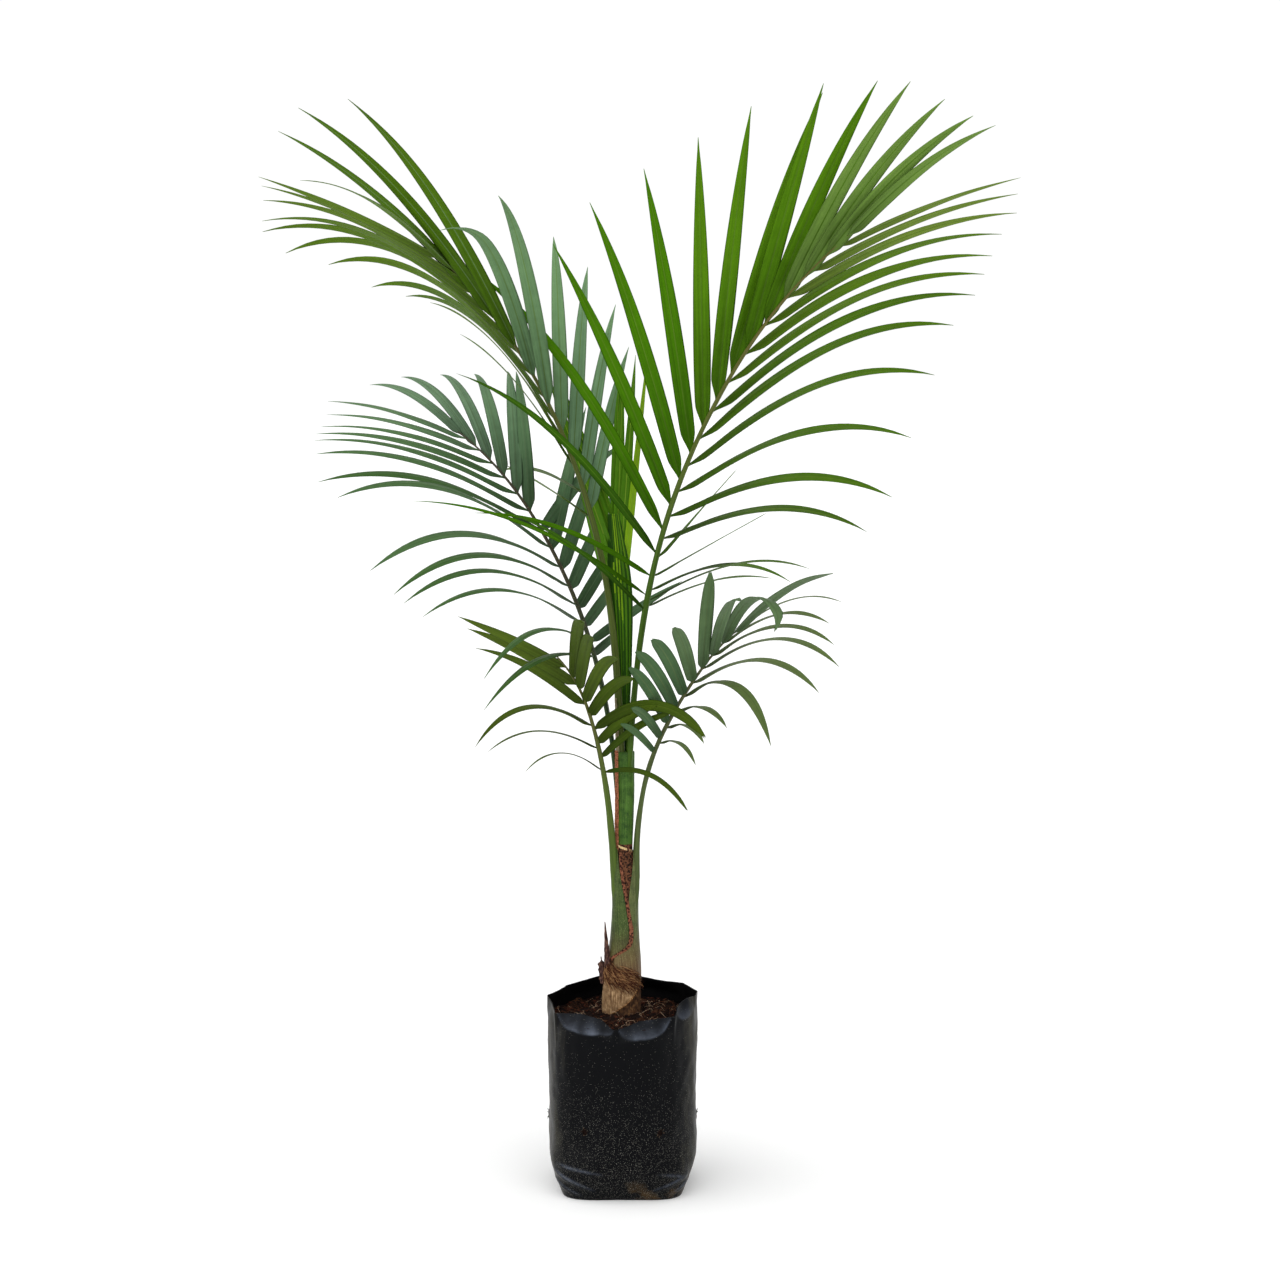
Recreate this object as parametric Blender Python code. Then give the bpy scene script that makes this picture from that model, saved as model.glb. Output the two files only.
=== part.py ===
import math
import random

import bmesh
import bpy
from mathutils import Matrix, Vector
from mathutils.bvhtree import BVHTree

# Potted palm seedling in a nursery bag. Metres, +Z up, the bag's underside on z = 0.

GAP = 0.0003
MANIFOLD_FRONDS = ("frond_low_right",)

# nursery bag
BAG_RADIUS = 0.0965
BAG_FOOT_WIDE = 0.0925
BAG_FOOT_DEEP = 0.0870
BAG_CORNER = 0.044
BAG_INSET = 0.0145
BAG_INSET_CURVE = 1.28
BAG_SQUARE = 0.075
BAG_LEVELS = (0.009, 0.025, BAG_CORNER, 0.062, 0.085, 0.120, 0.195)
BAG_WALL = 0.0015
BAG_FLOOR = 0.0020
RIM_HEIGHT = 0.254
RIM_DIP = 0.020
RIM_FOLD = 0.0030
RIM_FLATS = ((146, 0.0070), (48, 0.0050))
HOLE_RADIUS = 0.0050
HOLE_HEIGHT = 0.092
HOLE_COUNT = 6
AROUND = 40

# growing medium
SOIL_HEIGHT = 0.225
SOIL_LUMP = 0.0030
SOIL_GAP = 0.0007

# stem base
STEM_HEIGHTS = (0.0, 0.012, 0.055, 0.100, 0.145, 0.1805)
STEM_RADII = (0.0245, 0.0232, 0.0222, 0.0176, 0.0158, 0.0160)
STEM_SHIFT = (0.0005, 0.0010, 0.0020, 0.0035, 0.0040, 0.0035)
STEM_TOP = SOIL_HEIGHT + GAP + STEM_HEIGHTS[-1]

# main sheath, from the stem base's top to where the young petioles part
SHEATH_FOOT = STEM_TOP + GAP
SHEATH_TOP = 0.566
SHEATH_CENTRE = (0.0030, 0.0030, 0.0040, 0.0040)
SHEATH_WIDE = (0.0088, 0.0108, 0.0116, 0.0118)
SHEATH_DEEP = (0.0080, 0.0092, 0.0100, 0.0108)

# dry fibrous edge of the main sheath
STRIP_FOOT = 0.443
STRIP_TOP = 0.561

# leaflets
LEAF_SHAPES = {
    "long": ((0.0, 0.10, 0.27, 0.50, 0.77), (0.22, 0.70, 0.98, 1.0, 0.80, 0.55, 0.24)),
    "blunt": ((0.0, 0.12, 0.35, 0.66, 0.92), (0.22, 0.62, 0.84, 0.95, 1.0, 0.86, 0.45)),
}
ROW_WIDTHS = (0.42, 0.88, 1.0, 0.92, 0.66)
LEAF_THICK = 0.0115
LEAF_TENT = 0.16
CLEAR = 0.0022
SPEAR_FLAT = 0.42
RIB_STEPS = 120
LEAF_STEPS = 24

# stubs of old petioles: where they stand, how high they start, their size, their lean and their taper
DEAD_STUB = dict(turn=204, foot=0.081, length=0.036, wide=0.0030, lean=7, taper=0.80, off=0.0004)
DEAD_KNOB = dict(turn=176, foot=0.044, length=0.030, wide=0.0031, lean=8, taper=0.2, off=0.0031)

# nudges that a leaflet tries when another piece is in its way: rise, angle, share of its length
NUDGES = ((0, 0, 1), (3, 0, 1), (-3, 0, 1), (0, 3, 1), (0, -3, 1), (6, 0, 1), (-6, 0, 1), (0, 6, 1),
          (0, -5, 1), (4, 4, 1), (-4, 4, 1), (4, -4, 1), (-4, -4, 1), (12, 0, 1), (-12, 0, 1), (8, 8, 0.95),
          (-8, 8, 0.95), (8, -6, 0.95), (-8, -6, 0.95), (18, 0, 0.9), (-18, 0, 0.9), (0, 14, 0.9),
          (25, 0, 0.85), (-25, 0, 0.85), (0, 22, 0.8), (14, 14, 0.7), (-14, 14, 0.7), (0, 0, 0.6),
          (20, 10, 0.5), (-20, 10, 0.5), (0, 0, 0.4))

# The fronds. Angles in degrees and lengths in metres, as values at the foot, in between and at the tip:
# lean from upright, heading seen from above, roll of the blade about the rib. A row of leaflets has its
# count, its first and last place on the rachis and their spacing's power, then its angle from the rib, its
# rise above the blade's plane, its sag, its length and its blades' twist. bent gives single leaflets that
# hang or turn in their own way: what is added to angle, rise and sag, the share of the length, and what is
# added to the twist. widths gives a row's own widths where they differ from the usual ones.
FRONDS = {
    "frond_tall_right": dict(
        seed=11, foot=(0.0034, -0.0042, 0.426), start=SHEATH_TOP + GAP, lean=(1.3, 10.2, 36.3, 64.4),
        heading=(-16, -57), roll=(64, -24, -10), petiole=0.294, rachis=0.643,
        radii=(0.0056, 0.0046, 0.0017), width=0.0220,
        rows={1: dict(places=(17, 0.055, 0.985, 1.25),
                      angle=(60, 46, 32, 17, 11, 4), rise=(7, 36, 47, 47, 37, 27),
                      sag=(0.41, 0.41, 0.31, 0.34), length=(0.301, 0.38, 0.354, 0.366, 0.344, 0.293),
                      twist=(30, 3, -19, -23, -13, -6), shape="long",
                      widths=(0.28, 0.33, 0.80, 1, 1, 1, 0.95, 0.86, 0.72),
                      bent={1: (8, 5, 0.1, 1.15, 0), 2: (14, -4, 0.1, 0.79, 0), 3: (0, -1, 0.2, 0.95, 0),
                            4: (-3, 0, 0.2, 1.1, 0), 5: (-1, 0, -0.1, 0.95, 0), 10: (-3, 0, 0, 1.02, 0),
                            11: (2, 0, -0.2, 0.94, 0)}),
              -1: dict(places=(17, 0.062, 0.945, 1.58),
                       angle=(75, 71, 46, 29, 25, 22), rise=(1, 10, 29, 17, 8, -1),
                       sag=(0.67, 0.72, 0.64, 0.15), length=(0.279, 0.388, 0.404, 0.334, 0.293, 0.226),
                       twist=(53, 36, 9, 6, 3, 6), shape="long",
                       bent={0: (2, -2, -0.3, 0.99, 0), 1: (-4, -6, -0.1, 1.11, 0), 3: (-2, 2, -0.7, 0.74, 0),
                             4: (-13, 14, -0.7, 0.57, 0)})}),
    "frond_tall_left": dict(
        seed=12, foot=(-0.0002, -0.0005, 0.426), start=SHEATH_TOP + GAP, lean=(0, 6.1, 27.6, 53.4),
        heading=(196, 222), roll=(51, -4, -2), petiole=0.450, rachis=0.412,
        radii=(0.0044, 0.0042, 0.0016), width=0.0200,
        rows={1: dict(places=(13, 0.000, 0.955, 1.00),
                      angle=(82, 51, 46, 31, 27, 31), rise=(6, 11, 11, 4, -1, -12),
                      sag=(0.1, 0.78, 0.87, 0.12), length=(0.375, 0.364, 0.356, 0.352, 0.282, 0.231),
                      twist=(29, 12, 5, 0, -4, -8), shape="long",
                      bent={1: (13, -2, 0.1, 0.9, 0), 7: (2, 4, 0.1, 1.05, 0)}),
              -1: dict(places=(10, 0.021, 0.905, 1.12),
                       angle=(38, 39, 32, 14, 6, 16), rise=(13, 5, 1, 2, -14, -29),
                       sag=(0.3, 0.62, 0.47, 0.65), length=(0.281, 0.414, 0.472, 0.441, 0.352, 0.235),
                       twist=(53, 56, 55, 37, 31, 27), shape="long",
                       widths=(0.85, 0.98, 1.0, 0.92, 0.66),
                       bent={0: (-3, 96, 0.1, 0.78, -85), 1: (1, 109, 0.1, 0.77, -90),
                             2: (6, 122, 0.1, 0.77, -108), 3: (10, 129, 0.1, 0.77, -118),
                             5: (2, 1, 0, 0.65, 0), 8: (-9, 2, -0.1, 0.92, 0)})}),
    "frond_mid_left": dict(
        seed=13, foot=(-0.0018, 0.0130, STEM_TOP + GAP), start=STEM_TOP + GAP, lean=(0.4, 12.5, 37.5, 67.5),
        heading=(170, 128), roll=(32, -11, -19.5), petiole=0.239, rachis=0.451,
        radii=(0.0038, 0.0041, 0.0015), width=0.0190,
        rows={1: dict(places=(14, 0.115, 0.966, 1.24),
                      angle=(89, 64, 41, 31, 20, 3), rise=(-7, -4, 2, 3, 6, 15), sag=(0, 0.1, 0.66, 0.49),
                      length=(0.10, 0.137, 0.247, 0.303, 0.294, 0.27), twist=(15, 18, 17, 18, 14, 9),
                      shape="long", bent={1: (2, 23, 0.1, 1.5, 0), 2: (-2, 2, 0, 1.15, 0)}),
              -1: dict(places=(14, 0.108, 0.935, 1.15),
                       angle=(98, 73, 75, 51, 27, 10), rise=(14, 24, 32, 22, -2, -17),
                       sag=(0.39, 0.74, 0.52, 0.25), length=(0.446, 0.439, 0.437, 0.297, 0.264, 0.278),
                       twist=(60, 44, 24, 10, 13, 22), shape="long",
                       bent={1: (1, 3, 0.1, 0.95, 0), 6: (-3, 4, 0, 1.04, 0)})}),
    "frond_low_left": dict(
        seed=14, foot=(-0.0098, -0.0070, STEM_TOP + GAP), start=STEM_TOP + GAP, lean=(3.8, 9.9, 24.4, 54.7),
        heading=(214, 234), roll=(17, 27.5, 13), petiole=0.140, rachis=0.195,
        radii=(0.0040, 0.0038, 0.0013), width=0.0172,
        rows={1: dict(places=(6, 0.011, 0.830, 1.02),
                      angle=(52, 56, 37, 35, 26), rise=(10, 3, 5, 2, 1), sag=(1.56, 0.5, 0),
                      length=(0.123, 0.173, 0.157, 0.156, 0.15), twist=(54, 50, 5, -25, -35), shape="long",
                      bent={2: (-4, 0, 1, 1.04, 0)}),
              -1: dict(places=(9, 0.004, 0.820, 1.00),
                       angle=(53, 51, 38, 19, 3), rise=(19, 4, -12, -20, -32), sag=(0.53, 0.73, 0.77),
                       length=(0.124, 0.097, 0.126, 0.235, 0.359), twist=(-5, 2, 10, 25, 50),
                       shape="blunt", bent={0: (29, -13, 1.2, 1.06, 0), 3: (13, 9, 0.9, 1.73, 0)})}),
    "frond_low_right": dict(
        seed=25, foot=(0.0179, -0.0050, STEM_TOP + GAP), start=STEM_TOP + GAP, lean=(-0.7, 10, 28, 39, 58),
        heading=(-12.6, -33), roll=(50, -21, 11), petiole=0.153, rachis=0.255,
        radii=(0.0040, 0.0038, 0.0013), width=0.0185,
        rows={1: dict(places=(10, 0.057, 0.826, 1.02),
                      angle=(59, 54, 46, 30, 7), rise=(13, 9, 5, -1, -7), sag=(0.41, 0.51, 0.4),
                      length=(0.082, 0.139, 0.147, 0.206, 0.268), twist=(6, 7, 14, 29, 55), shape="blunt",
                      bent={6: (-6, 3, -0.4, 1.15, 0), 8: (0, 10, 0.7, 1.23, 0)}),
              -1: dict(places=(9, 0.105, 0.830, 1.00),
                       angle=(76, 54, 38, 37, 25), rise=(-1, 0, -2, 5, 13), sag=(2.2, 1.48, 0.76),
                       length=(0.101, 0.079, 0.205, 0.154, 0.16), twist=(60, 48, 30, 8, -12),
                       shape="long", bent={3: (-5, 11, 1.5, 1.25, 0)})}),
    "spear_leaf": dict(
        seed=16, foot=(0.0045, 0.0078, 0.426), start=SHEATH_TOP + GAP, lean=(0, 1, 2, 6),
        heading=(180, 180), roll=(80, 80, 80), petiole=0.330, rachis=0.120,
        radii=(0.0032, 0.0045, 0.0025), width=0.0230, girth=(0.0030, 0.0038, 0.0068, 0.0124, 0.0158, 0.0080),
        rows={1: dict(places=(4, 0.000, 0.950, 1.00),
                      angle=(3, 2, 2), rise=(6, 6, 6), sag=(0.0, 0.0, 0.0), length=(0.37, 0.27, 0.20),
                      twist=(20, 20), shape="long", widths=(1.25, 0.70, 0.60)),
              -1: dict(places=(4, 0.000, 0.950, 1.00),
                       angle=(9, 8, 5), rise=(6, 6, 6), sag=(0.0, 0.0, 0.0), length=(0.33, 0.25, 0.17),
                       twist=(20, 20), shape="long", widths=(0.60, 0.60, 0.60))}),
}


def profile(values, share):
    """Smooth curve through evenly spaced values."""
    last = len(values) - 1
    place = min(max(share, 0.0), 1.0) * last
    k = min(int(place), last - 1)
    f = place - k
    before = values[max(k - 1, 0)]
    here = values[k]
    after = values[k + 1]
    beyond = values[min(k + 2, last)]
    return 0.5 * (2 * here + (after - before) * f + (2 * before - 5 * here + 4 * after - beyond) * f ** 2
                  + (3 * here - before - 3 * after + beyond) * f ** 3)


def rib_line(frond):
    """Share, point, tangent, normal and side direction along the whole rib."""
    total = frond["petiole"] + frond["rachis"]
    point = Vector(frond["foot"])
    line = []
    for k in range(RIB_STEPS + 1):
        s = k / RIB_STEPS
        lean = math.radians(profile(frond["lean"], s))
        heading = math.radians(profile(frond["heading"], s))
        roll = math.radians(profile(frond["roll"], s))
        out = Vector((math.cos(heading), math.sin(heading), 0.0))
        up = Vector((0.0, 0.0, 1.0))
        tangent = math.sin(lean) * out + math.cos(lean) * up
        flat = math.sin(lean) * up - math.cos(lean) * out
        side = tangent.cross(flat)
        normal = flat * math.cos(roll) + side * math.sin(roll)
        if k > 0:
            point = point + (tangent + line[-1][2]) * (0.5 * total / RIB_STEPS)
        line.append((s, point.copy(), tangent, normal, tangent.cross(normal)))
    return line


def rib_at(line, s):
    """Point, tangent, normal and side direction at a share of the rib."""
    place = min(max(s, 0.0), 1.0) * RIB_STEPS
    k = min(int(place), RIB_STEPS - 1)
    f = place - k
    return [line[k][j].lerp(line[k + 1][j], f) for j in range(1, 5)]


def petiole_share(frond):
    return frond["petiole"] / (frond["petiole"] + frond["rachis"])


def rib_radius(frond, s):
    """Radius of the rib: petiole from its foot to the first leaflet, then the rachis to the tip."""
    foot, first, tip = frond["radii"]
    start = petiole_share(frond)
    if s < start:
        return foot + (first - foot) * s / start
    return first + (tip - first) * ((s - start) / (1 - start)) ** 0.8


def leaf_line(frond, line, q, side, nudge, sway):
    """Centre line of a leaflet that leaves at share q of the rachis, and its blade's normal."""
    row = frond["rows"][side]
    start = petiole_share(frond)
    point, tangent, normal, across = rib_at(line, start + (1 - start) * q)
    angle = math.radians(profile(row["angle"], q) + nudge[1] + sway[0])
    rise = math.radians(profile(row["rise"], q) + nudge[0] + sway[1])
    outward = side * math.cos(rise) * across + math.sin(rise) * normal
    upper = math.cos(rise) * normal - side * math.sin(rise) * across
    aim = math.cos(angle) * tangent + math.sin(angle) * outward
    sag = max(profile(row["sag"], q) + sway[3], 0.0)
    length = profile(row["length"], q) * nudge[2] * sway[2]
    points = [point.copy()]
    for k in range(LEAF_STEPS):
        u = (k + 0.5) / LEAF_STEPS
        step = aim - Vector((0.0, 0.0, sag * u ** 1.4))
        points.append(points[-1] + step.normalized() * (length / LEAF_STEPS))
    return points, upper, length


def along(points, u):
    """Point and direction at share u of a line."""
    last = len(points) - 1
    place = min(max(u, 0.0), 1.0) * last
    k = min(int(place), last - 1)
    here = points[k].lerp(points[k + 1], place - k)
    ahead = points[min(k + 2, last)] - points[max(k - 1, 0)]
    return here, ahead.normalized()


def new_object(name, bm, material, smooth=False):
    """Object from a bmesh, with outward faces."""
    bmesh.ops.recalc_face_normals(bm, faces=bm.faces[:])
    mesh = bpy.data.meshes.new(name)
    bm.to_mesh(mesh)
    bm.free()
    for polygon in mesh.polygons:
        polygon.use_smooth = smooth
    if material is not None:
        mesh.materials.append(material)
    obj = bpy.data.objects.new(name, mesh)
    bpy.context.scene.collection.objects.link(obj)
    return obj


def add_skin(bm, rings, tip=None):
    """Closed skin over rings of equal count, capped at its foot and at its top or tip."""
    loops = [[bm.verts.new(p) for p in ring] for ring in rings]
    count = len(loops[0])
    for low, high in zip(loops, loops[1:]):
        for k in range(count):
            j = (k + 1) % count
            bm.faces.new((low[k], low[j], high[j], high[k]))
    bm.faces.new(loops[0][::-1])
    if tip is None:
        bm.faces.new(loops[-1])
        return
    point = bm.verts.new(tip)
    for k in range(count):
        bm.faces.new((loops[-1][k], loops[-1][(k + 1) % count], point))


def split_quads(bm):
    """Splits each quad by the same corner, so that two skins made alike stay parallel."""
    quads = [face for face in bm.faces if len(face.verts) == 4]
    bmesh.ops.triangulate(bm, faces=quads, quad_method="FIXED")


def material(name, colour, roughness):
    made = bpy.data.materials.new(name)
    made.use_nodes = True
    shader = made.node_tree.nodes["Principled BSDF"]
    shader.inputs["Base Color"].default_value = (*colour, 1.0)
    shader.inputs["Roughness"].default_value = roughness
    made.diffuse_color = (*colour, 1.0)
    return made


def circle_ring(centre, wide, deep, count, turn=0.0):
    ring = []
    for k in range(count):
        a = 2 * math.pi * k / count + turn
        ring.append(Vector((centre[0] + wide * math.cos(a), centre[1] + deep * math.sin(a), centre[2])))
    return ring


def bag_radius(angle, height):
    """Outer radius of the soft film: round above, squarer at its folded foot, pushed in twice at its rim."""
    foot = max(0.0, 1 - height / BAG_SQUARE)
    foot = foot * foot * (3 - 2 * foot)
    wide = BAG_RADIUS + (BAG_FOOT_WIDE - BAG_RADIUS) * foot
    deep = BAG_RADIUS + (BAG_FOOT_DEEP - BAG_RADIUS) * foot
    power = 2.0 + 2.2 * foot
    across = abs(math.cos(angle) / wide) ** power + abs(math.sin(angle) / deep) ** power
    radius = across ** (-1 / power)
    radius += (0.0010 * math.cos(5 * angle + 0.7) + 0.0007 * math.cos(3 * angle + 2.1)) * (1 - foot)
    top = max(0.0, height / RIM_HEIGHT - 0.75) / 0.25
    for middle, inward in RIM_FLATS:
        radius -= inward * top * math.exp(-((math.degrees(angle) - middle) / 20) ** 2)
    if height < BAG_CORNER:
        radius -= BAG_INSET * (1 - height / BAG_CORNER) ** BAG_INSET_CURVE
    return radius


def rim_height(angle):
    """The rim dips at the front and rises at the back."""
    front = 0.5 - 0.5 * math.sin(angle)
    return RIM_HEIGHT + 0.003 - RIM_DIP * front ** 2.2 + RIM_FOLD * math.cos(7 * angle + 0.4) * 0.6


def film_ring(level, inset, height=None):
    """Ring of the film at a level, or on the rim's own line."""
    ring = []
    for k in range(AROUND):
        a = 2 * math.pi * k / AROUND
        r = bag_radius(a, level) - inset
        z = level if height is None else height(a)
        ring.append(Vector((r * math.cos(a), r * math.sin(a), z)))
    return ring


def nursery_bag(look):
    bm = bmesh.new()
    outer = [film_ring(level, 0.0) for level in (0.0, *BAG_LEVELS)]
    outer.append(film_ring(RIM_HEIGHT, 0.0, rim_height))
    inner = [film_ring(RIM_HEIGHT, BAG_WALL, rim_height)]
    inner += [film_ring(level, BAG_WALL) for level in (*BAG_LEVELS[::-1], BAG_FLOOR)]
    add_skin(bm, outer + inner)
    split_quads(bm)
    bag = new_object("nursery_bag", bm, look, True)
    for k in range(HOLE_COUNT):
        punch(bag, math.radians(-120 + 360 * k / HOLE_COUNT))
    return bag


def punch(bag, angle):
    """Round drain hole through the film."""
    cutter_mesh = bmesh.new()
    turn = Matrix.Rotation(angle, 4, "Z") @ Matrix.Translation((BAG_RADIUS, 0, HOLE_HEIGHT))
    turn = turn @ Matrix.Rotation(math.pi / 2, 4, "Y")
    bmesh.ops.create_cone(cutter_mesh, cap_ends=True, segments=12, radius1=HOLE_RADIUS, radius2=HOLE_RADIUS,
                          depth=0.02, matrix=turn)
    cutter = new_object("cutter", cutter_mesh, None)
    cutter.hide_render = True
    cutter.display_type = "WIRE"
    cut = bag.modifiers.new("hole", "BOOLEAN")
    cut.operation = "DIFFERENCE"
    cut.solver = "EXACT"
    cut.object = cutter
    apply_modifiers(bag)
    bpy.data.objects.remove(cutter)


def apply_modifiers(obj):
    """Bakes the object's modifiers into its mesh."""
    graph = bpy.context.evaluated_depsgraph_get()
    graph.update()
    baked = bpy.data.meshes.new_from_object(obj.evaluated_get(graph))
    obj.modifiers.clear()
    old = obj.data
    obj.data = baked
    bpy.data.meshes.remove(old)


def growing_medium(look):
    """Fills the bag, with a lumpy top that is flat round the stem."""
    bm = bmesh.new()
    rings = []
    chance = random.Random(5)
    for share in (0.42, 0.66, 0.88):
        ring = []
        for k in range(AROUND):
            a = 2 * math.pi * k / AROUND
            r = (bag_radius(a, SOIL_HEIGHT) - BAG_WALL) * share
            lump = -SOIL_LUMP * chance.random() if share > 0.5 else 0.0
            ring.append(Vector((r * math.cos(a), r * math.sin(a), SOIL_HEIGHT + lump)))
        rings.append(ring)
    levels = (SOIL_HEIGHT - 0.006, *BAG_LEVELS[::-1], BAG_FLOOR + GAP)
    rings += [film_ring(level, BAG_WALL + SOIL_GAP) for level in levels]
    add_skin(bm, rings)
    split_quads(bm)
    return new_object("growing_medium", bm, look)


def stem_base(look):
    """Short trunk, flared at the soil, leaning a little, up to where the leaf sheaths part."""
    bm = bmesh.new()
    rings = []
    for k in range(len(STEM_HEIGHTS)):
        centre = (STEM_SHIFT[k], 0.0, SOIL_HEIGHT + GAP + STEM_HEIGHTS[k])
        rings.append(circle_ring(centre, STEM_RADII[k], STEM_RADII[k], 24))
    add_skin(bm, rings)
    return new_object("stem_base", bm, look, True)


def main_sheath(look):
    bm = bmesh.new()
    rings = []
    for k in range(10):
        s = k / 9
        height = SHEATH_FOOT + (SHEATH_TOP - SHEATH_FOOT) * s
        centre = (profile(SHEATH_CENTRE, s), 0.0, height)
        rings.append(circle_ring(centre, profile(SHEATH_WIDE, s), profile(SHEATH_DEEP, s), 20))
    add_skin(bm, rings)
    return new_object("main_sheath", bm, look, True)


def fibre_strip(look):
    """Dry fibrous edge of the sheath, down its left side."""
    bm = bmesh.new()
    rings = []
    for k in range(9):
        s = k / 8
        height = STRIP_FOOT + (STRIP_TOP - STRIP_FOOT) * s
        share = (height - SHEATH_FOOT) / (SHEATH_TOP - SHEATH_FOOT)
        middle = math.radians(208 + 6 * math.sin(9 * s))
        half = 0.42 - 0.10 * s
        ring = []
        for out in (0.0004, 0.0022):
            for a in (-half, -half / 3, half / 3, half):
                turn = middle + (a if out < 0.001 else -a)
                wide = profile(SHEATH_WIDE, share) + out + 0.0002
                deep = profile(SHEATH_DEEP, share) + out + 0.0002
                x = profile(SHEATH_CENTRE, share) + wide * math.cos(turn)
                ring.append(Vector((x, deep * math.sin(turn), height)))
        rings.append(ring)
    add_skin(bm, rings)
    return new_object("sheath_fibre_strip", bm, look)


def cut_leaf_base(look):
    """Old leaf base, cut off short, round the stem's front left."""
    bm = bmesh.new()
    rings = []
    for k in range(7):
        s = k / 6
        height = 0.0008 + 0.079 * s
        ring = []
        half = math.radians(74 - 22 * s ** 2)
        middle = math.radians(238)
        for outside in (False, True):
            for j in range(9):
                share = j / 8
                a = middle + half * (2 * share - 1) * (-1 if outside else 1)
                inner = stem_radius(height) + 0.0005
                swell = 0.0042 * math.cos((2 * share - 1) * 1.3) * (1 - 0.55 * s) + 0.0012
                r = inner + (swell if outside else 0.0)
                ring.append(Vector((stem_shift(height) + r * math.cos(a), r * math.sin(a),
                                    SOIL_HEIGHT + GAP + height)))
        rings.append(ring)
    add_skin(bm, rings)
    return new_object("cut_leaf_base", bm, look, True)


def stem_value(values, height):
    for k in range(len(STEM_HEIGHTS) - 1):
        if height <= STEM_HEIGHTS[k + 1]:
            f = (height - STEM_HEIGHTS[k]) / (STEM_HEIGHTS[k + 1] - STEM_HEIGHTS[k])
            return values[k] + (values[k + 1] - values[k]) * f
    return values[-1]


def stem_radius(height):
    return stem_value(STEM_RADII, height)


def stem_shift(height):
    return stem_value(STEM_SHIFT, height)


def dead_stub(name, look, stub):
    """Broken old petiole that stands beside the stem."""
    bm = bmesh.new()
    rings = []
    turn = math.radians(stub["turn"])
    for k in range(4):
        s = k / 3
        r = stem_radius(stub["foot"]) + stub["off"] + stub["wide"]
        r += math.tan(math.radians(stub["lean"])) * stub["length"] * s
        height = SOIL_HEIGHT + GAP + stub["foot"] + stub["length"] * s
        centre = (stem_shift(stub["foot"]) + r * math.cos(turn), r * math.sin(turn), height)
        size = stub["wide"] * (1 - stub["taper"] * s)
        rings.append(circle_ring(centre, size, size, 8))
    add_skin(bm, rings)
    return new_object(name, bm, look, True)


def rib_rings(frond, line):
    """Rings of the petiole and rachis, from its flat foot to just short of its tip."""
    low = 0.0
    for s, point, tangent, normal, side in line:
        if point.z >= frond["start"] - 1e-9:
            low = s
            break
    rings = []
    count = 13
    for k in range(count):
        s = low + (0.985 - low) * (k / (count - 1)) ** 1.1
        point, tangent, normal, side = rib_at(line, s)
        deep = wide = rib_radius(frond, s)
        if "girth" in frond:
            wide = profile(frond["girth"], s)
            deep = SPEAR_FLAT * wide
        ring = []
        for j in range(6):
            a = 2 * math.pi * j / 6 + 0.2
            ring.append(point + deep * math.cos(a) * normal + wide * math.sin(a) * side)
        if k == 0:
            for p in ring:
                p.z = frond["start"]
        rings.append(ring)
    return rings


def blade(bm, points, upper, length, width, twist, shape, grow=0.0):
    """Leaflet blade: a low tent over its midrib, pointed at its tip."""
    shares, widths = LEAF_SHAPES[shape]
    rings = []
    for u in shares:
        here, ahead = along(points, u)
        side = upper.cross(ahead).normalized()
        side = Matrix.Rotation(twist, 3, ahead) @ side
        face = ahead.cross(side)
        half = 0.5 * width * profile(widths, u) + grow
        thick = LEAF_THICK * length * (0.45 + 0.55 * profile(widths, u)) * (1 - 0.35 * u) + grow
        drop = LEAF_TENT * half
        rings.append([here - side * half - face * drop,
                      here - face * 0.45 * thick,
                      here + side * half - face * drop,
                      here + face * 0.55 * thick])
    tip, ahead = along(points, 1.0)
    add_skin(bm, rings, tip + ahead * grow * 1.5)


def solid_tree(bm):
    bm.normal_update()
    return BVHTree.FromBMesh(bm)


def place_leaflets(name, frond, line, obstacles):
    """Leaflets of one frond that keep clear of every other piece, with the nudge each one took."""
    chance = random.Random(frond["seed"])
    placed = []
    for side, row in frond["rows"].items():
        count, first, last, power = row["places"]
        for k in range(count):
            q = first + (last - first) * (k / (count - 1)) ** power
            turn, lift, droop, share, roll = row.get("bent", {}).get(k, (0, 0, 0, 1, 0))
            sway = (turn + chance.uniform(-0.5, 0.5), lift + chance.uniform(-0.6, 0.6),
                    share * chance.uniform(0.99, 1.01), droop)
            twist = -side * math.radians(profile(row["twist"], q) + roll + chance.uniform(-5, 5))
            width = frond["width"] * profile(row.get("widths", ROW_WIDTHS), q)
            for nudge in NUDGES:
                points, upper, length = leaf_line(frond, line, q, side, nudge, sway)
                test = bmesh.new()
                blade(test, points, upper, length, width, twist, row["shape"], CLEAR)
                tree = solid_tree(test)
                test.free()
                if not any(tree.overlap(other) for other in obstacles):
                    placed.append((points, upper, length, width, twist, row["shape"]))
                    break
    return placed


def tree_of(obj):
    bm = bmesh.new()
    bm.from_mesh(obj.data)
    tree = solid_tree(bm)
    bm.free()
    return tree


def clear_scene():
    for obj in list(bpy.data.objects):
        bpy.data.objects.remove(obj)


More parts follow.
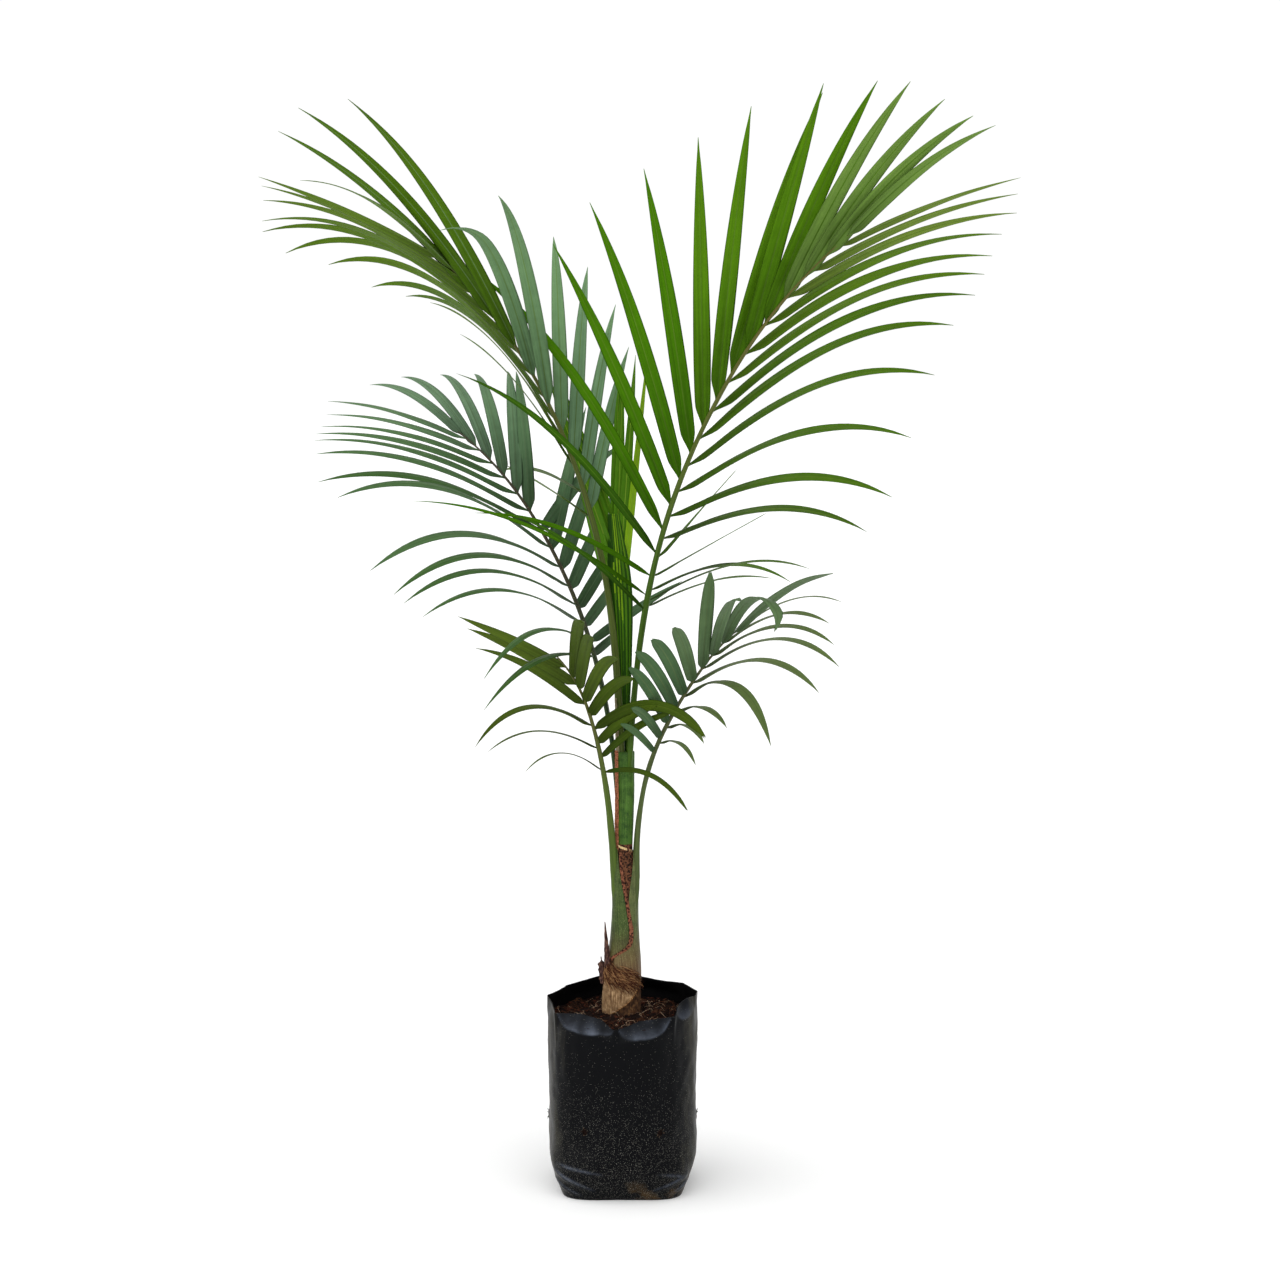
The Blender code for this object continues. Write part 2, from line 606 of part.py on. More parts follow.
def keep_outer_shell(obj):
    """Fills hollows that the union sealed and drops loose scraps: only the widest shell stays."""
    bm = bmesh.new()
    bm.from_mesh(obj.data)
    left = set(bm.verts)
    shells = []
    while left:
        shell = set()
        edge = [left.pop()]
        while edge:
            vert = edge.pop()
            shell.add(vert)
            for link in vert.link_edges:
                other = link.other_vert(vert)
                if other in left:
                    left.remove(other)
                    edge.append(other)
        shells.append(shell)
    widest = max(shells, key=lambda shell: max(v.co.z for v in shell) - min(v.co.z for v in shell))
    spare = [v for shell in shells if shell is not widest for v in shell]
    if spare:
        bmesh.ops.delete(bm, geom=spare, context="VERTS")
        bm.to_mesh(obj.data)
    bm.free()


def join_frond(rib, blades):
    """One union of the rib with the collection of its leaflets."""
    group = bpy.data.collections.new("leaflets")
    bpy.context.scene.collection.children.link(group)
    for obj in blades:
        bpy.context.scene.collection.objects.unlink(obj)
        group.objects.link(obj)
    union = rib.modifiers.new("union", "BOOLEAN")
    union.operation = "UNION"
    union.operand_type = "COLLECTION"
    union.collection = group
    union.solver = "MANIFOLD" if rib.name in MANIFOLD_FRONDS else "EXACT"
    apply_modifiers(rib)
    for obj in blades:
        bpy.data.objects.remove(obj)
    bpy.data.collections.remove(group)
    keep_outer_shell(rib)


def fronds(looks):
    lines = {}
    ribs = {}
    trees = {}
    for name, frond in FRONDS.items():
        lines[name] = rib_line(frond)
        bm = bmesh.new()
        point, tangent, normal, side = rib_at(lines[name], 1.0)
        add_skin(bm, rib_rings(frond, lines[name]), point)
        ribs[name] = new_object(name, bm, looks[name], True)
        trees[name] = [tree_of(ribs[name])]
    solids = [tree_of(bpy.data.objects[n]) for n in ("nursery_bag", "stem_base", "main_sheath",
                                                     "sheath_fibre_strip")]
    for name, frond in FRONDS.items():
        obstacles = list(solids)
        for other, found in trees.items():
            if other != name:
                obstacles += found
        placed = place_leaflets(name, frond, lines[name], obstacles)
        print(name, "leaflets", len(placed), "of", sum(row["places"][0] for row in frond["rows"].values()))
        blades = []
        for k, leaflet in enumerate(placed):
            bm = bmesh.new()
            blade(bm, *leaflet)
            trees[name].append(solid_tree(bm))
            blades.append(new_object(f"{name}_leaflet_{k:02d}", bm, looks[name]))
        join_frond(ribs[name], blades)


def main():
    clear_scene()
    film = material("black_film", (0.012, 0.012, 0.014), 0.45)
    soil = material("brown_fibre_medium", (0.10, 0.045, 0.025), 0.95)
    bark = material("fibrous_brown_base", (0.20, 0.13, 0.07), 0.85)
    sheath = material("green_sheath", (0.06, 0.17, 0.03), 0.55)
    dry = material("dry_fibre", (0.26, 0.12, 0.06), 0.9)
    lit = material("leaf_green_bright", (0.07, 0.20, 0.015), 0.5)
    cool = material("leaf_green_cool", (0.05, 0.12, 0.045), 0.5)
    olive = material("leaf_green_olive", (0.12, 0.17, 0.03), 0.5)
    young = material("leaf_green_young", (0.18, 0.36, 0.03), 0.5)
    nursery_bag(film)
    growing_medium(soil)
    stem_base(bark)
    main_sheath(sheath)
    fibre_strip(dry)
    cut_leaf_base(bark)
    dead_stub("dead_petiole_stub", dry, DEAD_STUB)
    dead_stub("dead_petiole_knob", dry, DEAD_KNOB)
    fronds({"frond_tall_right": lit, "frond_tall_left": lit, "frond_mid_left": cool,
            "frond_low_left": olive, "frond_low_right": cool, "spear_leaf": young})


main()
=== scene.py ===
import math
import random

import bmesh
import bpy
from mathutils import Matrix, Vector, noise
from mathutils.bvhtree import BVHTree


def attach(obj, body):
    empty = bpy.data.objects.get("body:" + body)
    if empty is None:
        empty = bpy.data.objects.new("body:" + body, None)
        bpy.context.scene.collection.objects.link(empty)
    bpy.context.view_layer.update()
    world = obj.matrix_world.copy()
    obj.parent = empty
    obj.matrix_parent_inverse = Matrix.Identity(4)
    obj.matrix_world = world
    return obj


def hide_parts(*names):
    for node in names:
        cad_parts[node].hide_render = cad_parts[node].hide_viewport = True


# Looks of a potted palm seedling. Metres, +Z up, the bag's underside on z = 0, the viewer at -Y.

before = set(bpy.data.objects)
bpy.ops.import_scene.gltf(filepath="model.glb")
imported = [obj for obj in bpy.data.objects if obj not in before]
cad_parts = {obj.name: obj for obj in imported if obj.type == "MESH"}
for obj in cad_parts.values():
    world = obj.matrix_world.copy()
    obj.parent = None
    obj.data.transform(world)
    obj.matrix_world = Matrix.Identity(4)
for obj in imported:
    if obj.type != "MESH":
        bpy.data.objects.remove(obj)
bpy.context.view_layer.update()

UP = Vector((0.0, 0.0, 1.0))
ROUND = 2 * math.pi
NEARLY_ROUND = 6.28

# camera, floor and light
CAMERA_PLACE = (0.0229, -3.2, 1.056)
CAMERA_DIP = 6.1
CAMERA_LENS = 70.7
SENSOR_WIDTH = 36.0
FLOOR_RADIUS = 60.0
FLOOR_HEIGHT = -0.0004
FLOOR_CORNERS = 64
SKY_FADE = (0.30, 0.60)
SKY_STRENGTH = (1.03, 0.55)
KEY_TILT = (42, -28)
KEY_STRENGTH = 2.6
KEY_SIZE = 120

# the CAD source's sizes that the leaflets' places and the stem's pieces follow
GAP = 0.0003
BAG_RADIUS = 0.0965
BAG_FOOT_WIDE = 0.0925
BAG_FOOT_DEEP = 0.0870
BAG_CORNER = 0.044
BAG_INSET = 0.0145
BAG_INSET_CURVE = 1.28
BAG_SQUARE = 0.075
RIM_HEIGHT = 0.254
RIM_FLATS = ((146, 0.0070), (48, 0.0050))
HOLE_RADIUS = 0.0050
HOLE_HEIGHT = 0.092
HOLE_COUNT = 6
HOLE_FIRST = -120
SOIL_HEIGHT = 0.225
STEM_HEIGHTS = (0.0, 0.012, 0.055, 0.100, 0.145, 0.1805)
STEM_RADII = (0.0245, 0.0232, 0.0222, 0.0176, 0.0158, 0.0160)
STEM_SHIFT = (0.0005, 0.0010, 0.0020, 0.0035, 0.0040, 0.0035)
STEM_TOP = SOIL_HEIGHT + GAP + STEM_HEIGHTS[-1]
SHEATH_FOOT = STEM_TOP + GAP
SHEATH_TOP = 0.566
SHEATH_CENTRE = (0.0030, 0.0030, 0.0040, 0.0040)
SHEATH_WIDE = (0.0088, 0.0108, 0.0116, 0.0118)
SHEATH_DEEP = (0.0080, 0.0092, 0.0100, 0.0108)
ROW_WIDTHS = (0.42, 0.88, 1.0, 0.92, 0.66)
LEAF_THICK = 0.0115
LEAF_TENT = 0.16
CLEAR = 0.0022
SPEAR_FLAT = 0.42
RIB_STEPS = 120
RIB_RINGS = 13
RIB_SIDES = 6
RIB_TURN = 0.2
RIB_END = 0.985
LEAF_STEPS = 24
LEAF_SHAPES = {
    "long": ((0.0, 0.10, 0.27, 0.50, 0.77), (0.22, 0.70, 0.98, 1.0, 0.80, 0.55, 0.24)),
    "blunt": ((0.0, 0.12, 0.35, 0.66, 0.92), (0.22, 0.62, 0.84, 0.95, 1.0, 0.86, 0.45)),
}
NUDGES = ((0, 0, 1), (3, 0, 1), (-3, 0, 1), (0, 3, 1), (0, -3, 1), (6, 0, 1), (-6, 0, 1), (0, 6, 1),
          (0, -5, 1), (4, 4, 1), (-4, 4, 1), (4, -4, 1), (-4, -4, 1), (12, 0, 1), (-12, 0, 1), (8, 8, 0.95),
          (-8, 8, 0.95), (8, -6, 0.95), (-8, -6, 0.95), (18, 0, 0.9), (-18, 0, 0.9), (0, 14, 0.9),
          (25, 0, 0.85), (-25, 0, 0.85), (0, 22, 0.8), (14, 14, 0.7), (-14, 14, 0.7), (0, 0, 0.6),
          (20, 10, 0.5), (-20, 10, 0.5), (0, 0, 0.4))

# The fronds. Angles in degrees and lengths in metres, as values at the foot, in between and at the tip:
# lean from upright, heading seen from above, roll of the blade about the rib. A row of leaflets has its
# count, its first and last place on the rachis and their spacing's power, then its angle from the rib, its
# rise above the blade's plane, its sag, its length and its blades' twist. bent gives single leaflets that
# hang or turn in their own way: what is added to angle, rise and sag, the share of the length, and what is
# added to the twist. widths gives a row's own widths where they differ from the usual ones.
FRONDS = {
    "frond_tall_right": dict(
        seed=11, foot=(0.0034, -0.0042, 0.426), start=SHEATH_TOP + GAP, lean=(1.3, 10.2, 36.3, 64.4),
        heading=(-16, -57), roll=(64, -24, -10), petiole=0.294, rachis=0.643,
        radii=(0.0056, 0.0046, 0.0017), width=0.0220,
        rows={1: dict(places=(17, 0.055, 0.985, 1.25),
                      angle=(60, 46, 32, 17, 11, 4), rise=(7, 36, 47, 47, 37, 27),
                      sag=(0.41, 0.41, 0.31, 0.34), length=(0.301, 0.38, 0.354, 0.366, 0.344, 0.293),
                      twist=(30, 3, -19, -23, -13, -6), shape="long",
                      widths=(0.28, 0.33, 0.80, 1, 1, 1, 0.95, 0.86, 0.72),
                      bent={1: (8, 5, 0.1, 1.15, 0), 2: (14, -4, 0.1, 0.79, 0), 3: (0, -1, 0.2, 0.95, 0),
                            4: (-3, 0, 0.2, 1.1, 0), 5: (-1, 0, -0.1, 0.95, 0), 10: (-3, 0, 0, 1.02, 0),
                            11: (2, 0, -0.2, 0.94, 0)}),
              -1: dict(places=(17, 0.062, 0.945, 1.58),
                       angle=(75, 71, 46, 29, 25, 22), rise=(1, 10, 29, 17, 8, -1),
                       sag=(0.67, 0.72, 0.64, 0.15), length=(0.279, 0.388, 0.404, 0.334, 0.293, 0.226),
                       twist=(53, 36, 9, 6, 3, 6), shape="long",
                       bent={0: (2, -2, -0.3, 0.99, 0), 1: (-4, -6, -0.1, 1.11, 0), 3: (-2, 2, -0.7, 0.74, 0),
                             4: (-13, 14, -0.7, 0.57, 0)})}),
    "frond_tall_left": dict(
        seed=12, foot=(-0.0002, -0.0005, 0.426), start=SHEATH_TOP + GAP, lean=(0, 6.1, 27.6, 53.4),
        heading=(196, 222), roll=(51, -4, -2), petiole=0.450, rachis=0.412,
        radii=(0.0044, 0.0042, 0.0016), width=0.0200,
        rows={1: dict(places=(13, 0.000, 0.955, 1.00),
                      angle=(82, 51, 46, 31, 27, 31), rise=(6, 11, 11, 4, -1, -12),
                      sag=(0.1, 0.78, 0.87, 0.12), length=(0.375, 0.364, 0.356, 0.352, 0.282, 0.231),
                      twist=(29, 12, 5, 0, -4, -8), shape="long",
                      bent={1: (13, -2, 0.1, 0.9, 0), 7: (2, 4, 0.1, 1.05, 0)}),
              -1: dict(places=(10, 0.021, 0.905, 1.12),
                       angle=(38, 39, 32, 14, 6, 16), rise=(13, 5, 1, 2, -14, -29),
                       sag=(0.3, 0.62, 0.47, 0.65), length=(0.281, 0.414, 0.472, 0.441, 0.352, 0.235),
                       twist=(53, 56, 55, 37, 31, 27), shape="long",
                       widths=(0.85, 0.98, 1.0, 0.92, 0.66),
                       bent={0: (-3, 96, 0.1, 0.78, -85), 1: (1, 109, 0.1, 0.77, -90),
                             2: (6, 122, 0.1, 0.77, -108), 3: (10, 129, 0.1, 0.77, -118),
                             5: (2, 1, 0, 0.65, 0), 8: (-9, 2, -0.1, 0.92, 0)})}),
    "frond_mid_left": dict(
        seed=13, foot=(-0.0018, 0.0130, STEM_TOP + GAP), start=STEM_TOP + GAP, lean=(0.4, 12.5, 37.5, 67.5),
        heading=(170, 128), roll=(32, -11, -19.5), petiole=0.239, rachis=0.451,
        radii=(0.0038, 0.0041, 0.0015), width=0.0190,
        rows={1: dict(places=(14, 0.115, 0.966, 1.24),
                      angle=(89, 64, 41, 31, 20, 3), rise=(-7, -4, 2, 3, 6, 15), sag=(0, 0.1, 0.66, 0.49),
                      length=(0.10, 0.137, 0.247, 0.303, 0.294, 0.27), twist=(15, 18, 17, 18, 14, 9),
                      shape="long", bent={1: (2, 23, 0.1, 1.5, 0), 2: (-2, 2, 0, 1.15, 0)}),
              -1: dict(places=(14, 0.108, 0.935, 1.15),
                       angle=(98, 73, 75, 51, 27, 10), rise=(14, 24, 32, 22, -2, -17),
                       sag=(0.39, 0.74, 0.52, 0.25), length=(0.446, 0.439, 0.437, 0.297, 0.264, 0.278),
                       twist=(60, 44, 24, 10, 13, 22), shape="long",
                       bent={1: (1, 3, 0.1, 0.95, 0), 6: (-3, 4, 0, 1.04, 0)})}),
    "frond_low_left": dict(
        seed=14, foot=(-0.0098, -0.0070, STEM_TOP + GAP), start=STEM_TOP + GAP, lean=(3.8, 9.9, 24.4, 54.7),
        heading=(214, 234), roll=(17, 27.5, 13), petiole=0.140, rachis=0.195,
        radii=(0.0040, 0.0038, 0.0013), width=0.0172,
        rows={1: dict(places=(6, 0.011, 0.830, 1.02),
                      angle=(52, 56, 37, 35, 26), rise=(10, 3, 5, 2, 1), sag=(1.56, 0.5, 0),
                      length=(0.123, 0.173, 0.157, 0.156, 0.15), twist=(54, 50, 5, -25, -35), shape="long",
                      bent={2: (-4, 0, 1, 1.04, 0)}),
              -1: dict(places=(9, 0.004, 0.820, 1.00),
                       angle=(53, 51, 38, 19, 3), rise=(19, 4, -12, -20, -32), sag=(0.53, 0.73, 0.77),
                       length=(0.124, 0.097, 0.126, 0.235, 0.359), twist=(-5, 2, 10, 25, 50),
                       shape="blunt", bent={0: (29, -13, 1.2, 1.06, 0), 3: (13, 9, 0.9, 1.73, 0)})}),
    "frond_low_right": dict(
        seed=25, foot=(0.0179, -0.0050, STEM_TOP + GAP), start=STEM_TOP + GAP, lean=(-0.7, 10, 28, 39, 58),
        heading=(-12.6, -33), roll=(50, -21, 11), petiole=0.153, rachis=0.255,
        radii=(0.0040, 0.0038, 0.0013), width=0.0185,
        rows={1: dict(places=(10, 0.057, 0.826, 1.02),
                      angle=(59, 54, 46, 30, 7), rise=(13, 9, 5, -1, -7), sag=(0.41, 0.51, 0.4),
                      length=(0.082, 0.139, 0.147, 0.206, 0.268), twist=(6, 7, 14, 29, 55), shape="blunt",
                      bent={6: (-6, 3, -0.4, 1.15, 0), 8: (0, 10, 0.7, 1.23, 0)}),
              -1: dict(places=(9, 0.105, 0.830, 1.00),
                       angle=(76, 54, 38, 37, 25), rise=(-1, 0, -2, 5, 13), sag=(2.2, 1.48, 0.76),
                       length=(0.101, 0.079, 0.205, 0.154, 0.16), twist=(60, 48, 30, 8, -12),
                       shape="long", bent={3: (-5, 11, 1.5, 1.25, 0)})}),
    "spear_leaf": dict(
        seed=16, foot=(0.0045, 0.0078, 0.426), start=SHEATH_TOP + GAP, lean=(0, 1, 2, 6),
        heading=(180, 180), roll=(80, 80, 80), petiole=0.330, rachis=0.120,
        radii=(0.0032, 0.0045, 0.0025), width=0.0230, girth=(0.0030, 0.0038, 0.0068, 0.0124, 0.0158, 0.0080),
        rows={1: dict(places=(4, 0.000, 0.950, 1.00),
                      angle=(3, 2, 2), rise=(6, 6, 6), sag=(0.0, 0.0, 0.0), length=(0.37, 0.27, 0.20),
                      twist=(20, 20), shape="long", widths=(1.25, 0.70, 0.60)),
              -1: dict(places=(4, 0.000, 0.950, 1.00),
                       angle=(9, 8, 5), rise=(6, 6, 6), sag=(0.0, 0.0, 0.0), length=(0.33, 0.25, 0.17),
                       twist=(20, 20), shape="long", widths=(0.60, 0.60, 0.60))}),
}

# fine stalks
STALK_DEPTH = 0.86
STALK_POINTS = 18
STALK_STATIONS = 110
STALK_END = 0.992
STALK_WAVE = 0.03
STALK_TAPER = 0.85
STALK_CHANNEL = 0.30
STALK_NECK = 0.07
# share from which the stalks in the main sheath begin, and how the others are drawn down the stem
STALK_START = 0.09
STEM_SINK = 0.055
SINK_RINGS = 14
SINK_DEPTH = 0.7
SINK_FLARE = 0.35
SINK_PRESS = 0.0010

# fine leaflets
STATIONS = 34
COLUMNS = (-1.0, -0.80, -0.52, -0.26, -0.07, 0.07, 0.26, 0.52, 0.80, 1.0)
BLADE_THICK = 0.0007
MIDRIB_THICK = 1.6
BLADE_WAVES = (0.02, 0.05)
BLADE_BEATS = (1.2, 2.4)
BLADE_CURL = 7
BLADE_CUP = 0.12
FINE_STEPS = 48
OUTLINES = {
    "long": (0.86, 0.96, 1.0, 1.0, 0.96, 0.90, 0.80, 0.67, 0.50, 0.29, 0.03),
    "blunt": (0.76, 0.86, 0.93, 0.97, 1.0, 1.0, 0.98, 0.93, 0.84, 0.66, 0.22),
}
STALK_SHARE = 0.085
TENTS = (0.62, 0.34, 0.20, 0.16, 0.18)
RAGGED_FROM = 0.9
RAGGED_REACH = 0.016
TINT_STEPS = 4
# leaflets whose tip hooks over: where it starts, its turn towards the left in the front view, its length
HOOKS = {
    ("frond_tall_left", -1, 5): (0.80, 74, 1.34),
    ("frond_low_right", 1, 7): (0.80, -70, 1.05),
    ("frond_low_right", 1, 8): (0.86, -60, 1.04),
    ("spear_leaf", 1, 0): (0.30, -7, 1.0),
}

# spear leaf: its bright stripes of painted highlight as shares of its half width, and the heights from which
# they open
SPEAR_FOLDS = 14
SPEAR_STATIONS = 90
SPEAR_FOOT = 0.12
SPEAR_THICK = 0.0012
SPEAR_DRIFT = 0.04
PLEAT_HEIGHT = 0.0022
PLEAT_FULL_WIDTH = 0.014
SPEAR_BRIGHT = ((-0.42, 0.24), (0.46, 0.74))
SPEAR_BRIGHT_FROM = (0.722, 0.786)
SPEAR_TAPER = 0.055
SPEAR_DIM_FROM = 0.655
SPEAR_DIM_WAVE = 0.05
BRIGHT_PLEAT_WIDTH = 0.75
SPEAR_SEED = 31

# stem and main sheath: rows and points of their skins, and the metres that their fibres' pattern spans
STEM_SKIN = (60, 72)
STEM_PATTERN = (0.13, 0.185)
STEM_INSET = 0.0006
STEM_OVERLAP = 0.004
STEM_NARROWING = 0.045
STEM_NECK = (0.0100, 0.0094)
SHEATH_SKIN = (80, 64)
SHEATH_PATTERN = (0.066, 0.17)
SHEATH_SINK = 0.012
SHEATH_RIDGES = 26
RIDGE_HEIGHT = 0.00018
MARGIN_THINNING = 0.75
RAG_RISE = 0.00012
# relief of the fibrous and of the smooth surfaces, coarse and fine
STRINGY_RELIEF = (0.0007, 0.0004)
SOFT_RELIEF = (0.0005, 0.00015)
# heights between which the low sheaths turn from green to brown
FOOT_GREEN = 0.345
FOOT_BROWN = 0.285

# Pieces of sheath that lie round the stem: their heights, their margins as angles up them, how far they
# stand off, how thick they are, their faces across and up, and how ragged and aslant their edges are.
LEFT_EDGE = (-160, -86, -75, -84, -94, -106, -118, -128)
MARGIN_WIDTHS = (22, 22, 20, 18, 17, 17, 18, 18)
RIGHT_SHEATH = dict(span=(0.270, 0.440), left=(-128, -128, -128, -110, -70, -74, -66, -54, -38),
                    right=(80, 80, 75, 66, 50, 34, 20, 6, -4), thick=0.0016,
                    lift=(0.0006, 0.0010, 0.0010, 0.0010, 0.0012, 0.0016, 0.0040))
LEFT_SHEATH = dict(span=(0.298, 0.445), left=(-262, -262, -258, -250, -235, -215, -195, -180),
                   right=LEFT_EDGE, lift=(0.0018, 0.0018, 0.0016, 0.0014, 0.0016, 0.0024, 0.0050),
                   thick=0.0018, across=40)
# painted shadow: a dark strip in the slit at the edge of the left sheath
SLIT_SHADOW = dict(span=(0.299, 0.440), left=[a - 4 for a in LEFT_EDGE], right=[a + 7 for a in LEFT_EDGE],
                   lift=(0.0009, 0.0009, 0.0009), thick=0.0010, across=6)
SHEATH_MARGIN = dict(span=(0.299, 0.440), left=[a + 3 for a in LEFT_EDGE],
                     right=[a + b for a, b in zip(LEFT_EDGE, MARGIN_WIDTHS)],
                     lift=(0.0015, 0.0014, 0.0013, 0.0013), thick=0.0016, across=10, up=90, rag=4.0)
SHEATH_NET = dict(span=(0.392, 0.450), left=(-140, -146, -150), right=(-34, -26, -20),
                  lift=(0.0002, 0.0004, 0.0004), thick=0.0012, across=40, up=30)
CUT_COLLAR = dict(span=(0.4425, 0.4455), left=(-158, -158), right=(4, 4), lift=(0.0015, 0.0011),
                  thick=0.0016, across=40, up=5, rag=4.0, slope=-0.0105)
DRY_EDGE = dict(span=(0.436, 0.572), left=(-176, -178, -176, -174, -170),
                right=(-133, -130, -131, -134, -136), lift=(0.0016, 0.0018, 0.0018, 0.0016),
                thick=0.0016, across=14, up=110, rag=6.0)
DRY_EDGE_TOP = dict(span=(0.566, 0.640), left=(-150, -150, -145), right=(-100, -104, -112),
                    lift=(0.0012, 0.0010, 0.0004), thick=0.0012, across=10, up=40)

# cut leaf base, its pale rim and the fringe of fibres over its top
BASE_SPAN = (0.2262, 0.2930)
BASE_EDGE = (-137, -106, -79, -60, -44, -36, -62, -140)
BASE_LIFT = (0.0030, 0.0040, 0.0044, 0.0042, 0.0036, 0.0028, 0.0020, 0.0008)
LEAF_BASE = dict(span=BASE_SPAN, left=(-196, -205, -212, -214, -214, -212, -208, -200), right=BASE_EDGE,
                 lift=BASE_LIFT, thick=0.0030, across=64, up=60, rag=2.0)
LEAF_BASE_RIM = dict(span=BASE_SPAN, left=[a - 2.5 for a in BASE_EDGE], right=[a + 1.5 for a in BASE_EDGE],
                     lift=[v + 0.0005 for v in BASE_LIFT], thick=0.0026, across=6, up=60, rag=3.0)
FRINGE_FIBRES = 340
FRINGE_TOP = 0.299
FRINGE_ANGLES = (-178, -62)
FRINGE_DEPTH = 0.022
FRINGE_SLOPE = 0.012
FRINGE_SWEEPS = (16, 55)
FRINGE_FALLS = (0.006, 0.020)
FRINGE_HUMPS = (0.0010, 0.0032)
FRINGE_RADII = (0.00022, 0.00042)
FRINGE_GAP = 0.0026
FRINGE_SPREAD = 0.0012
FRINGE_WAVE = 0.002
FRINGE_PALE = 0.38
FRINGE_STEPS = 8
FRINGE_SEED = 77

# dry stubs: angle round the stem, height of the foot above the medium, length, half width, lean in degrees,
# taper, gap to the stem, below zero where it is pressed in, and place in the noise. From KNOB_SPIKE of its
# length on the knob narrows to a spike.
STUBS = (
    ("dead_petiole_spine", "dead_petiole_stub", 204, 0.064, 0.060, 0.0050, 4, 0.88, -0.0034, 3),
    ("dead_petiole_knob_wood", "dead_petiole_knob", 176, 0.040, 0.035, 0.0056, 7, 0.10, -0.0030, 8),
)
STUB_RINGS = 26
STUB_POINTS = 16
KNOB_SPIKE = 0.72
SPIKE_WIDTH = 0.16
SPIKE_RUN = 0.16
STUB_JAG = 0.35

# nursery bag: the film's rim as heights at angles seen from above, 0 at the right and -90 at the front
BAG_AROUND = 360
BAG_ROWS = 136
BAG_ROW_POWER = 0.94
BASE_SHARES = (0.86, 0.6, 0.3)
FILM = 0.0007
FILM_WAVES = 0.0022
FILM_WRINKLES = 0.0007
RIM_LINE = ((-180, 0.2507), (-150, 0.2388), (-129, 0.2430), (-107, 0.2393), (-97, 0.2282), (-88, 0.2311),
            (-76, 0.2372), (-48, 0.2395), (-42, 0.2484), (-26, 0.2559), (0, 0.2546), (45, 0.2548),
            (75, 0.2558), (106, 0.2552), (147, 0.2509), (180, 0.2507))
# where the film leans in below its rim: middle, half width in degrees, weight, which also sets how bright the
# painted sheen there is
RIM_PANELS = ((-122, 27, 1.0), (-71, 23, 1.0), (-30, 14, 0.7), (-163, 13, 0.4), (66, 36, 1.8),
              (124.5, 22.5, 0.9), (163.5, 16.5, 0.5), (17, 13, 0.35))
RIM_LEAN = 0.0088
RIM_LEAN_DEPTH = 0.020
RIM_BULGE = 0.0022
BULGE_BELOW = 0.020
BULGE_SPAN = 0.009
# depth below the rim of the painted sheen's crescents, and the breadth of their sharp lower edge
SHEEN_DEPTH = 0.023
SHEEN_EDGE = 0.003
# upright folds at the rim: angle, how far they stand out, half width in degrees, how far down they run
RIM_FOLDS = ((-178.5, 0.0026, 4.0, 0.050), (-149.5, 0.0022, 1.8, 0.060), (1.0, 0.0016, 4.0, 0.040),
             (-46.5, 0.0024, 2.2, 0.050), (-94.5, 0.0012, 3.0, 0.030))
# creases at the foot: angle and height of one end and of the other, how far they stand out, half breadth
CREASES = ((-146, 0.044, -104, 0.036, 0.0016, 0.0030), (-64, 0.036, -30, 0.020, 0.0017, 0.0030),
           (-152, 0.034, -112, 0.010, 0.0024, 0.0036), (-160, 0.022, -124, 0.004, 0.0022, 0.0030),
           (-30, 0.030, -66, 0.010, 0.0022, 0.0034), (-24, 0.020, -52, 0.004, 0.0020, 0.0028),
           (150, 0.030, 118, 0.008, 0.0022, 0.0034), (30, 0.032, 62, 0.010, 0.0022, 0.0034))
CREASE_POWER = 1.6
# strength of the painted highlight on the creases' upper sides
CREASE_LIGHT = 0.60

# drain holes
HOLE_REACH = 0.02
HOLE_UNEVEN = (0.82, 0.30)
HOLE_FLARE = (0.0006, 0.0008)
LIP_POINTS = 40
LIP_SIDES = (0.0, 1.05, 2.09, 3.14, 4.19, 5.24)
LIP_SHREDS = 5
LIP_THICK = (0.0002, 0.0012)
LIP_GAP = 0.0004
SHRED_LENGTH = 0.0030
SHRED_RADIUS = 0.0005
SHRED_LIFT = 0.0010
SHRED_STEPS = 4
LIP_SEED = 12

# growing medium, its crumbs and the loose fibres on it
SOIL_RINGS = 46
SOIL_AROUND = 150
SOIL_GAP = 0.0014
SOIL_SIDE_GAP = 0.0016
SOIL_SIDE_ROWS = (0.212, 0.195, 0.17, 0.145, 0.12, 0.10, 0.092, 0.084, 0.07, 0.05, 0.03, 0.012, 0.003)
SOIL_LUMPS = 0.0068
SOIL_GRAIN = 0.0022
SOIL_MOUND = 0.004
MOUND_RADIUS = 0.045
CRUMBS = 1700
CRUMB_REACH = 0.094
CRUMB_SIZES = (0.0006, 0.0017)
WALL_GAP = 0.006
CRUMB_RINGS = ((-0.6, 0.6), (0.0, 1.0), (0.6, 0.62))
CRUMB_SIDES = 6
CRUMB_LEAN = 0.9
CRUMB_LENGTHS = (1.0, 3.0)
CRUMB_UNEVEN = (0.7, 1.2)
STRANDS = 720
STRAND_REACH = 0.086
STRAND_LIMIT = 0.088
STRAND_PACES = (0.0010, 0.0030)
STRAND_RISES = (0.0005, 0.0045)
STRAND_RADII = (0.00012, 0.00026)
STRAND_BEND = 2.2
STRAND_GAP = 0.0006
STRAND_STEPS = 6
SOIL_SEED = 9

